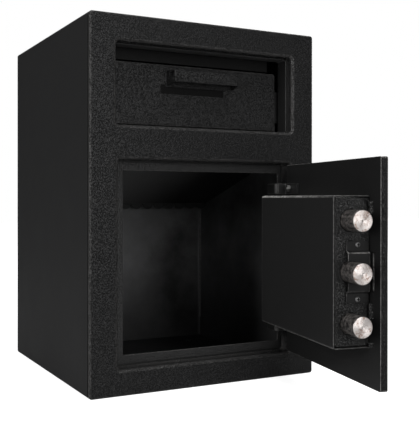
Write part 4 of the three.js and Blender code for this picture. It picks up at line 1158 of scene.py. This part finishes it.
def makeChute():
    size = chute
    sheet, inset = size["sheet"], size["sheet"] / 2
    low, high = shutBox("chute_plate")
    half, rearY = high.x, high.y
    top = slotUpper[2] - size["below"]
    foot = top - size["drop"]
    line = [(low.y + inset, top - size["frontFlange"]), (low.y + inset, top)]
    line += [(rearY - inset, foot), (rearY - inset, foot - size["foot"])]
    form = prism(stripLoop(bentLine(line, size["bend"], 4), sheet), -half, half)
    frontEnd, rearEnd = low.y + size["flangeInset"], rearY - size["flangeInset"]
    flange = [(frontEnd, top), (rearEnd, foot), (rearEnd, foot + size["sideFlange"]),
              (frontEnd, top + size["sideFlange"])]
    for side in (-1, 1):
        ends = sorted((side * half, side * (half - sheet)))
        form.join(plate(flange, [], *ends, size["flangeEdge"], 2))
    build("chuteSlope", form, "yzx", "chute_plate", "chuteUnder")
    pitch, steps = 2 * half / size["lobes"], size["lobeSteps"]
    outline = [(half, foot + size["lipTop"]), (-half, foot + size["lipTop"])]
    for i in range(size["lobes"]):
        centre = -half + pitch * (i + 0.5)
        for step in range(0 if i == 0 else 1, steps + 1):
            angle = math.pi * (1 + step / steps)
            depth = size["lobeDepth"] * math.sin(angle)
            outline.append((centre + pitch / 2 * math.cos(angle), foot + depth))
    lip = plate(outline, [], rearY - sheet, rearY, 0, 1, 0)
    build("chuteLip", lip, "xzy", ("cabinet", "satin_black"), "chuteEdge")


makeChute()
print("cabinet front made")

# Door plate: smooth inside, pebbled on its edges and outside
doorPlate = {
    "corner": 2.5,
    "edge": 0.4,
    "smoothFrom": 0.97,
    "shaftHole": 7.25,
    "spindleHole": 4.35,
}
dialBox = shutBox("dial_ring")
escutcheonBox = shutBox("handle_escutcheon")
dialPlace, handlePlace = middle(dialBox), middle(escutcheonBox)


def makeDoorPlate():
    outline = rounded(*spans(doorBox), doorPlate["corner"])
    holes = [circle(*handlePlace, doorPlate["shaftHole"])]
    holes.append(circle(*dialPlace, doorPlate["spindleHole"]))
    edge = doorPlate["edge"]
    piece = buildPlate("doorPlate", "xzy", "door_plate", outline, holes, edge, 4)
    # the edge paint's strong wear gives a light dotted line: edge wear and painted highlight
    repaint(piece, "edgePebble", "door", lambda normal, _: normal.y < doorPlate["smoothFrom"])


makeDoorPlate()

# Boltwork cover: thin sheet with folded corners, open towards the bolt plate
cover = {
    "sheet": 1.5,
    "corner": 3.0,
    "endCorner": 2.4,
    "flat": 0.5,
    "rim": 0.45,
    "steps": 6,
    "guard": 1.1,
    "shine": 7.0,  # how much stronger the painted highlight of the top edge is at the hinge end
    "shineReach": 95.0,
    "shineDrop": 4.0,
    "endShine": 0.6,
}


def makeCover():
    size = cover
    low, high = box = shutBox("box_cover")
    radius, guard, reach = size["endCorner"], size["guard"], size["shineReach"]
    corners = rectangle(*spans(box, "yz"))
    line = bentLine(corners, size["corner"], size["steps"])
    form = Form()

    def station(inset, x):
        moved = offset(line, -inset, closed=False)
        moved[0] = (low.y, moved[0][1])
        moved[-1] = (low.y, moved[-1][1])
        return form.ring([(y, z, x) for y, z in moved])

    rings = [station(0, x) for x in (low.x, low.x + guard, high.x - radius - guard)]
    rings += [station(drop, high.x - inset) for inset, drop in quarter(radius, size["steps"])]
    rings.append(station(radius + size["flat"], high.x))
    form.bridgeAll(rings, closed=False)
    form.cap([rings[-1]])
    piece = newPiece("boltCover", form, "yzx", "door")
    thicken(piece, size["sheet"], size["rim"])
    finish(piece, "box_cover", "coverBlack")

    # painted highlight along the top edge, strongest towards the hinge end, and weaker at the other end
    def weigh(place):
        if place.x < low.x + guard:
            return size["endShine"]
        share = min(max((place.x - high.x + reach) / reach, 0), 1)
        return 1 + (size["shine"] - 1) * share if place.z > high.z - size["shineDrop"] else 1

    weighWearAndHighlight(piece, weigh)


makeCover()

# Bolt plate with three bores
boltPlate = {"corner": 3.0, "edge": 0.5, "bore": 13.2, "screwHole": 2.35, "foldGap": 1.1}
boltPlateLow, boltPlateHigh = shutBox("bolt_plate")
screwBoxes = [shutBox(f"strap_screw_{name}") for name in endNames]
screwPlaces = [middle(box, "yz") for box in screwBoxes]


def makeBoltPlate():
    low, high, gap = boltPlateLow, boltPlateHigh, boltPlate["foldGap"]
    outline = rounded(low.y, high.y - gap, low.z + gap, high.z - gap, boltPlate["corner"])
    holes = [circle(boltY, level, boltPlate["bore"], 96) for level in boltLevels]
    holes += [circle(*place, boltPlate["screwHole"], 24) for place in screwPlaces]
    edge, paint = boltPlate["edge"], "finePebble"
    buildPlate("boltPlate", "yzx", "bolt_plate", outline, holes, edge, paint=paint)


makeBoltPlate()

# Live bolts: turned bar with a chamfered tip
bolt = {"chamfer": 0.8, "soft": 0.4, "steps": 96, "centre": 1.6, "centreDepth": 0.7}


def makeBolts():
    chamfer = bolt["chamfer"]
    for name, (low, high), level in zip(levelNames, boltBoxes, boltLevels):
        radius = (high.z - low.z) / 2
        profile = [
            (0, low.x + bolt["centreDepth"]),
            (bolt["centre"], low.x),
            (radius - chamfer, low.x),
            (radius, low.x + chamfer),
            (radius, high.x - chamfer),
            (radius - chamfer, high.x),
            (0, high.x),
        ]
        form = turned(softened(profile, bolt["soft"]), boltY, level, bolt["steps"])
        build(f"bolt{name.capitalize()}", form, "yzx", f"bolt_{name}")


makeBolts()

# Guide strap: a hat of bent flat bar round the middle bolt
strap = {
    "thickness": 2.0,
    "rise": 4.5,
    "raised": 49,
    "bend": 1.4,
    "edge": 0.4,
    "drillReach": 14,
    "line": 4.0,  # how much stronger the painted highlight is along the upper fold
    "lineSpan": (-4.5, 1),
}


def makeStrap():
    size = strap
    low, high = shutBox("guide_strap")
    thickness, half = size["thickness"], size["raised"] / 2
    x = high.x - thickness / 2
    raisedX, raisedHalf = x - size["rise"], half - thickness
    line = [(x, low.z), (x, workZ - half), (raisedX, workZ - raisedHalf)]
    line += [(raisedX, workZ + raisedHalf), (x, workZ + half), (x, high.z)]
    loop = stripLoop(bentLine(line, size["bend"], 6), thickness)
    form = plate(loop, [], low.y, high.y, size["edge"], 3, thinFlat)
    holes = [(boltPlate["bore"], boltY, workZ, 96)]
    holes += [(boltPlate["screwHole"], *place, 24) for place in screwPlaces]
    cutters = []
    for radius, *place in holes:
        bore = drill(radius, x, size["drillReach"], *place)
        cutters.append(newPiece("boreCutter", bore, "yzx", "door"))
    piece = build("guideStrap", form, "xzy", "guide_strap", "strapBlack", cutters)
    start, end = (workZ + half + z for z in size["lineSpan"])
    weighWearAndHighlight(piece, lambda place: size["line"] if start < place.z < end else 1.0)


makeStrap()

# Strap screws: domed heads with a cross recess, painted near black inside as painted shade
screw = {
    "head": 2.4,
    "dome": 1.5,
    "shank": 2.0,
    "crossWidth": 1.2,
    "crossLength": 4.0,
    "crossDepth": 1.5,
    "near": 0.05,
    "wall": 0.3,  # a face that leans less than this off the screw's line is a wall
}


def makeScrews():
    size = screw
    near, shank = size["near"], size["shank"]
    wide, long = size["crossWidth"] / 2, size["crossLength"] / 2
    for name, (low, high), (y, z) in zip(endNames, screwBoxes, screwPlaces):
        radius = (high.z - low.z) / 2
        top, under, depth = low.x, low.x + size["head"], low.x + size["crossDepth"]
        profile = [(0, top)]
        for angle in map(math.radians, range(15, 91, 15)):
            profile.append((radius * math.sin(angle), top + size["dome"] * (1 - math.cos(angle))))
        profile += [(radius, under), (shank, under), (shank, high.x), (0, high.x)]
        form = turned(profile, y, z, 32)
        piece = newPiece(f"strapScrew{name.capitalize()}", form, "yzx", "door")
        for across, up in ((wide, long), (long, wide)):
            cutter = block(top - 1, depth, y - across, y + across, z - up, z + up)
            cutWith(piece, [newPiece("crossCutter", cutter, "xyz", "door")])
        finish(piece, f"strap_screw_{name}", "blackZinc")

        def inCross(normal, centre):
            if max(abs(centre.y - y), abs(centre.z - z)) > long + near or centre.x > depth + near:
                return False
            return abs(normal.x) < size["wall"] or centre.x > depth - near

        repaint(piece, "recessBlack", "door", inCross)


makeScrews()

# Flat tab beside the bolt plate
tab = {"corner": 1.6, "edge": 0.5, "endKept": 1.5}


def makeTab():
    low, high = box = shutBox("side_tab")
    outline, edge, paint = rounded(*spans(box), tab["corner"]), tab["edge"], "tabBlack"
    piece = buildPlate("sideTab", "xzy", "side_tab", outline, [], edge, paint=paint)
    start, end = low.z + tab["endKept"], high.z - tab["endKept"]
    # painted highlight along the tab's long edges, kept off its ends
    weighWearAndHighlight(piece, lambda place: float(start < place.z < end))


makeTab()

# Gooseneck hinge arms
arm = {
    "thickness": 4.0,
    "edgeInset": 2.0,
    "doorGap": 0.3,
    "foot": 40.0,
    "reach": 16.5,
    "return": 33.0,
    "bend": 3.8,
    "edge": 0.6,
    "knuckle": 5.2,
    "bore": 3.35,
    "drillReach": 8,
    "nutInset": 17.5,
}


def makeArms():
    size = arm
    thickness, bore = size["thickness"], size["bore"]
    footY = doorHigh.y + size["doorGap"] + thickness / 2
    legX = doorHigh.x - size["edgeInset"] - thickness / 2
    farY = footY + size["reach"]
    line = [(legX - size["foot"], footY), (legX, footY), (legX, farY)]
    line += [(legX + size["return"], farY), (hingeLine.x, hingeLine.y + size["knuckle"] - 1)]
    loop = stripLoop(bentLine(line, size["bend"], 8), thickness)
    x = doorHigh.x - size["edgeInset"] - size["nutInset"]
    for name, (low, high), level in zip(endNames, armBoxes, armLevels):
        form = plate(loop, [], low.z, high.z, size["edge"], 3, thinFlat)
        hole = drill(bore, footY, size["drillReach"], x, level, 32)
        cutters = [newPiece("studCutter", hole, "xzy", "door")]
        label = name.capitalize()
        build(f"hingeArm{label}", form, "xyz", f"hinge_arm_{name}", None, cutters)
        outer, inner = (circle(*hingeLine.xy, radius, 40) for radius in (size["knuckle"], bore))
        knuckle = plate(outer, [inner], low.z, high.z)
        build(f"knuckle{label}", knuckle, "xyz", ("door", "satin_black"))


makeArms()

# Nut and stud that hold each arm
nut = {
    "radius": 5.4,
    "height": 4.6,
    "stud": 3.0,
    "studGap": 0.15,
    "studEnd": 1.2,
    "studChamfer": 0.6,
    "edge": 0.25,
    "flat": 0.2,
    "cone": ((3, -2.6), (0.3, -1.2), (-1.0, 0.25), (-1.0, 2), (3, 2), (3, -2.6)),
}


def makeNuts():
    radius, stud, chamfer = nut["radius"], nut["stud"], nut["studChamfer"]
    for name in endNames:
        low, high = box = shutBox(f"hinge_arm_nut_{name}")
        x, z = middle(box)
        top = high.y - nut["studEnd"]
        hole = circle(x, z, stud + nut["studGap"], 32)
        hexagon, base = circle(x, z, radius, 6), top - nut["height"]
        form = plate(hexagon, [hole], base, top, nut["edge"], 2, nut["flat"])
        cone = turned([(radius + out, top + up) for out, up in nut["cone"]], x, z, 48)
        cutters = [newPiece("nutCutter", cone, "xzy", "door")]
        label = name.capitalize()
        build(f"nut{label}", form, "xzy", f"hinge_arm_nut_{name}", None, cutters)
        profile = [(0, low.y), (stud, low.y), (stud, high.y - chamfer)]
        profile += [(stud - chamfer, high.y), (0, high.y)]
        build(f"stud{label}", turned(profile, x, z, 32), "xzy", ("door", "zinc_plate"))


makeNuts()

# Weld beads: beside the bolt plate, and up the cabinet's rear corners. The tree's own
# measures are in metres.
weld = {
    "plateSpans": ((245, 260), (121, 139), (87, 93)),
    "plateX": -5.5,  # from the bolt plate's outer face
    "plateRise": 0.6,
    "plateHome": ("door", "textured_black"),
    "cornerHome": ("cabinet", "satin_black"),
    "cornerEnds": (38, 318),
    "wall": 3.2,
    "plate": {"Width": 0.0062, "Pitch": 0.0018},
    "corner": {"Width": 0.0045, "Pitch": 0.003, "Seed": 3.0},
    "both": {"Ripple": 0.18, "Unevenness": 0.9},
    "perRipple": 5.0,
    "lumpScale": 260.0,
    "sides": 12,
    "sharp": 60,
}


def makeWelds():
    tree = makeWeldTree()

    def bead(name, x, y, ends, inputs, home, paint):
        form = Form()
        form.ring([(x, y, z) for z in ends])
        form.edges = [(0, 1)]
        grow(name, form, tree, weld["both"] | inputs, home, paint, weld["sharp"])

    x, y, home = boltPlateLow.x + weld["plateX"], doorHigh.y + weld["plateRise"], weld["plateHome"]
    for number, ends in enumerate(weld["plateSpans"], 1):
        inputs = weld["plate"] | {"Seed": float(number)}
        bead(f"plateWeld{number}", x, y, ends, inputs, home, "weldPaint")
    wallX, y, home = shellHigh.x - weld["wall"], shutBox("back_panel")[0].y, weld["cornerHome"]
    for name, x in (("cornerWeldLeft", -wallX), ("cornerWeldRight", wallX)):
        bead(name, x, y, weld["cornerEnds"], weld["corner"], home, "cornerPaint")


makeWelds()
print("door inside made")

# Lever on its hub, hanging down. Its hub's profile goes in from the radius and up from the low.
lever = {
    "hub": 14.0,
    "hubStart": 2,
    "shoulder": (1.5, 4),
    "hubEdge": (1.2, 1.5),
    "root": 12.0,
    "tip": 7.5,
    "length": 96.0,
    "thickness": 10.0,
    "edge": 3.2,
}
shaftBore = 5.35


def makeLever():
    size = lever
    x, z = handlePlace
    low, top = (corner.y for corner in shutBox("lever_handle"))
    root, tip, hub, start = size["root"], size["tip"], size["hub"], low + size["hubStart"]
    outline = arc(x, z, root, 0, 180, 24) + arc(x, z - size["length"] + tip, tip, -180, 0, 24)
    form = plate(outline, [], low, low + size["thickness"], size["edge"], 6)
    (shoulderIn, shoulderUp), (edgeIn, edgeDown) = size["shoulder"], size["hubEdge"]
    profile = [(0, start), (hub - shoulderIn, start), (hub, low + shoulderUp)]
    profile += [(hub, top - edgeDown), (hub - edgeIn, top), (shaftBore, top)]
    form.join(turned(softened(profile, edgeIn), x, z, 64))
    build("leverHandle", form, "xzy", "lever_handle")


makeLever()

# Escutcheon and dial ring
escutcheon = {"radius": 24.0, "rim": 1.2, "slope": 2.4, "step": 18.0, "stepEdge": 0.8, "rise": 0.6}
dialRing = {
    "radius": 40.0,
    "width": 7.0,
    "height": 9.0,
    "shares": (0.4, 0.5),  # of the height, where the edge starts and ends
    "edge": 1.0,
    "land": 1.8,
    "chamfer": 0.8,
}


def makeEscutcheon():
    size = escutcheon
    radius, step = size["radius"], size["step"]
    front, back = spans(escutcheonBox, "y")
    low = front + size["rise"]
    profile = [(shaftBore, back), (radius, back), (radius, back - size["rim"])]
    profile += [(radius - size["slope"], low), (step, low), (step - size["stepEdge"], front)]
    profile += [(shaftBore, front), (shaftBore, back)]
    form = turned(softened(profile, 0.5), *handlePlace, 96)
    build("escutcheon", form, "xzy", "handle_escutcheon")


def makeDialRing():
    size = dialRing
    radius, height, back = size["radius"], size["height"], dialBox[1].y
    inner, front = radius - size["width"], back - height
    edgeStart, edgeEnd = (back - height * share for share in size["shares"])
    profile = [(inner, back), (radius, back), (radius, edgeStart)]
    profile += [(radius - size["edge"], edgeEnd), (inner + size["land"], front)]
    profile += [(inner, front + size["chamfer"]), (inner, back)]
    form = turned(softened(profile, 0.8), *dialPlace, 128)
    build("dialRing", form, "xzy", "dial_ring")


makeEscutcheon()
makeDialRing()

# Combination dial: a turned face and a fluted grip
dial = {
    "radius": 32.0,
    "thickness": 6.0,
    "rim": 2.5,
    "rimEdge": 1.2,
    "face": 3.6,
    "slope": 4.0,
    "grip": 15.0,
    "gripEdge": 1,
    "gripStart": 4,
    "gripEnd": ((1, 1.6), (0.97, 0.6), (0.9, 0), (0.55, 0.7)),  # share of the radius, and depth
    "gripMiddle": 0.8,
    "flutes": 18,
    "fluteDepth": 1.1,
    "fluteSteps": 12,
}
comboLow, comboHigh = shutBox("combination_dial")


def makeDial():
    size = dial
    back, front = comboHigh.y, comboLow.y
    radius, grip = size["radius"], size["grip"]
    face, inner = back - size["face"], back - size["thickness"]
    profile = [(0, back), (radius, back), (radius, back - size["rim"])]
    profile += [(radius - size["rimEdge"], face), (grip + size["slope"], face)]
    profile += [(grip + size["gripEdge"], inner), (0, inner)]
    form = turned(softened(profile, 0.6), *dialPlace, 128)
    steps = size["flutes"] * size["fluteSteps"]
    stations = [(1, back - size["gripStart"])]
    stations += [(scale, front + depth) for scale, depth in size["gripEnd"]]
    rings = []
    for scale, y in stations:
        ring = []
        for angle in (2 * math.pi * i / steps for i in range(steps)):
            flute = size["fluteDepth"] * (0.5 + 0.5 * math.cos(size["flutes"] * angle))
            reach = scale * (grip - flute)
            x = dialPlace[0] + reach * math.cos(angle)
            ring.append((x, dialPlace[1] + reach * math.sin(angle), y))
        rings.append(form.ring(ring))
    form.bridgeAll(rings)
    form.fan(rings[-1], form.ring([(*dialPlace, front + size["gripMiddle"])])[0])
    build("combinationDial", form, "xzy", "combination_dial")


makeDial()

# Marks and numbers on the dial's face, and the mark that they are read against
dialMarks = {
    "count": 100,
    "radius": 29.3,
    "bar": (0.28, 0.16, 1.9),
    "longShare": 1.7,
    "numbers": 10,
    "numberRadius": 22.4,
    "numberSize": 4.4,
    "numberDepth": 0.08,
    "index": (1.0, 0.3, 4.5),
    "indexRadius": 36.6,
    "indexSunk": 0.4,
}


def makeDialMarks(centre):
    size = dialMarks
    tree = makeDialTree()
    shared = {"Turn": (0.0, 0.0, openDoor.to_euler().z), "Centre": (openDoor @ centre) * mm}

    def bars(name, points, bar, share, body):
        form = Form()
        form.ring(points)
        inputs = shared | {"Bar": [length * mm for length in bar], "Long share": share}
        grow(name, form, tree, inputs, (body, "dial_black"), "markPaint")

    angles = [2 * math.pi / size["count"] * i for i in range(size["count"])]
    reach = size["radius"]
    ring = [centre + Vector((math.sin(a), 0, math.cos(a))) * reach for a in angles]
    bars("dialBars", ring, size["bar"], size["longShare"], "dial")
    makeDialNumbers(centre)
    top = dialBox[1].y - dialRing["height"] + size["indexSunk"]
    point = (dialPlace[0], top, dialPlace[1] + size["indexRadius"])
    bars("dialIndex", [point], size["index"], 1.0, "door")


def makeDialNumbers(centre):
    size = dialMarks
    numbers = bmesh.new()
    step = 360 / size["numbers"]
    for i in range(size["numbers"]):
        text = bpy.data.curves.new("number", "FONT")
        text.body = str(10 * i)
        text.size = size["numberSize"]
        text.align_x = "CENTER"
        text.align_y = "CENTER"
        text.extrude = size["numberDepth"]
        holder = newObject("number", text)
        mesh = meshOf(holder)
        mesh.transform(
            Matrix.Scale(mm, 4)
            @ openDoor
            @ Matrix.Translation(centre)
            @ Matrix.Rotation(math.radians(step * i), 4, "Y")
            @ Matrix.Translation((0, 0, size["numberRadius"]))
            @ Matrix.Rotation(math.radians(90), 4, "X")
        )
        numbers.from_mesh(mesh)
        bpy.data.objects.remove(holder)
        bpy.data.meshes.remove(mesh)
    mesh = bpy.data.meshes.new("dialNumbers")
    numbers.to_mesh(mesh)
    numbers.free()
    finish(newObject("dialNumbers", mesh), ("dial", "dial_black"), "markPaint")


makeDialMarks(Vector((dialPlace[0], comboHigh.y - dial["face"], dialPlace[1])))
print("door outside made")

# Studio: a pale floor and soft lights, with white behind for the camera
studio = {
    "floorSize": 14.0,
    "floorColour": 0.56,
    "floorRoughness": 0.9,
    "floorGlow": 0.82,  # seen by the camera near the safe, so that a soft shadow stays
    "glowReach": (0.75, 1.9),
    "skySeen": 1.0,
    "skyGloss": 0.12,  # what paint and metal mirror: dim, because white would veil the black
    "skyFelt": 0.12,
}
# Place, target, size and power
softBoxes = {
    "keyFront": ((-0.18, -2.5, 0.62), (0, -0.15, 0.27), (1.4, 1.5), 31),
    "sideLeft": ((-2.4, -0.6, 0.75), (0, -0.2, 0.25), (1.4, 1.4), 38),
    "behind": ((2.0, 1.7, 1.3), (0.1, 0.1, 0.25), (1.6, 1.6), 34),
    "above": ((-0.1, -0.9, 2.2), (0.05, -0.15, 0.3), (1.6, 0.9), 30),
}


def makeWorld():
    world = bpy.data.worlds.new("studio")
    scene.world = world
    world.use_nodes = True
    tree = Tree(world.node_tree)
    tree.base.nodes.clear()
    rays = tree.add("ShaderNodeLightPath").outputs
    strength = studio["skyFelt"]
    for ray, level in (("Glossy", studio["skyGloss"]), ("Camera", studio["skySeen"])):
        inputs = {"Factor": rays[f"Is {ray} Ray"], "A": strength, "B": level}
        strength = tree.add("ShaderNodeMix", inputs)
    sky = tree.add("ShaderNodeBackground", {"Color": rgba(1.0), "Strength": strength})
    tree.add("ShaderNodeOutputWorld", {"Surface": sky})


# White paper: it takes the shadow, and glows for the camera until it is white far away
def makeFloor():
    half = studio["floorSize"] / 2
    mesh = bpy.data.meshes.new("floor")
    corners = [(x, y, 0) for x, y in rectangle(-half, half, -half, half)]
    mesh.from_pydata(corners, [], [(0, 1, 2, 3)])
    floor = newObject("floor", mesh)
    shader = Shader("floorPaper")
    distance = shader.add("ShaderNodeVectorMath", {0: shader.place()}, operation="LENGTH")
    glow = shader.remap(
        distance,
        studio["glowReach"],
        (studio["floorGlow"], 1.0),
        interpolation_type="SMOOTHSTEP",
    )
    seen = shader.add("ShaderNodeLightPath").outputs["Is Camera Ray"]
    mesh.materials.append(shader.give({
        "Base Color": rgba(studio["floorColour"]),
        "Roughness": studio["floorRoughness"],
        "Emission Color": rgba(1.0),
        "Emission Strength": shader.calc("MULTIPLY", glow, seen),
    }))


def makeLight(name, place, target, size, power):
    data = bpy.data.lights.new(name, "AREA")
    data.shape = "RECTANGLE"
    data.size, data.size_y = size
    data.energy = power
    lamp = newObject(name, data)
    lamp.location = place
    aim = Vector(target) - Vector(place)
    lamp.rotation_euler = aim.to_track_quat("-Z", "Y").to_euler()


makeWorld()
makeFloor()
for name, light in softBoxes.items():
    makeLight(name, *light)
scene.view_settings.view_transform = "Standard"
print("studio made")
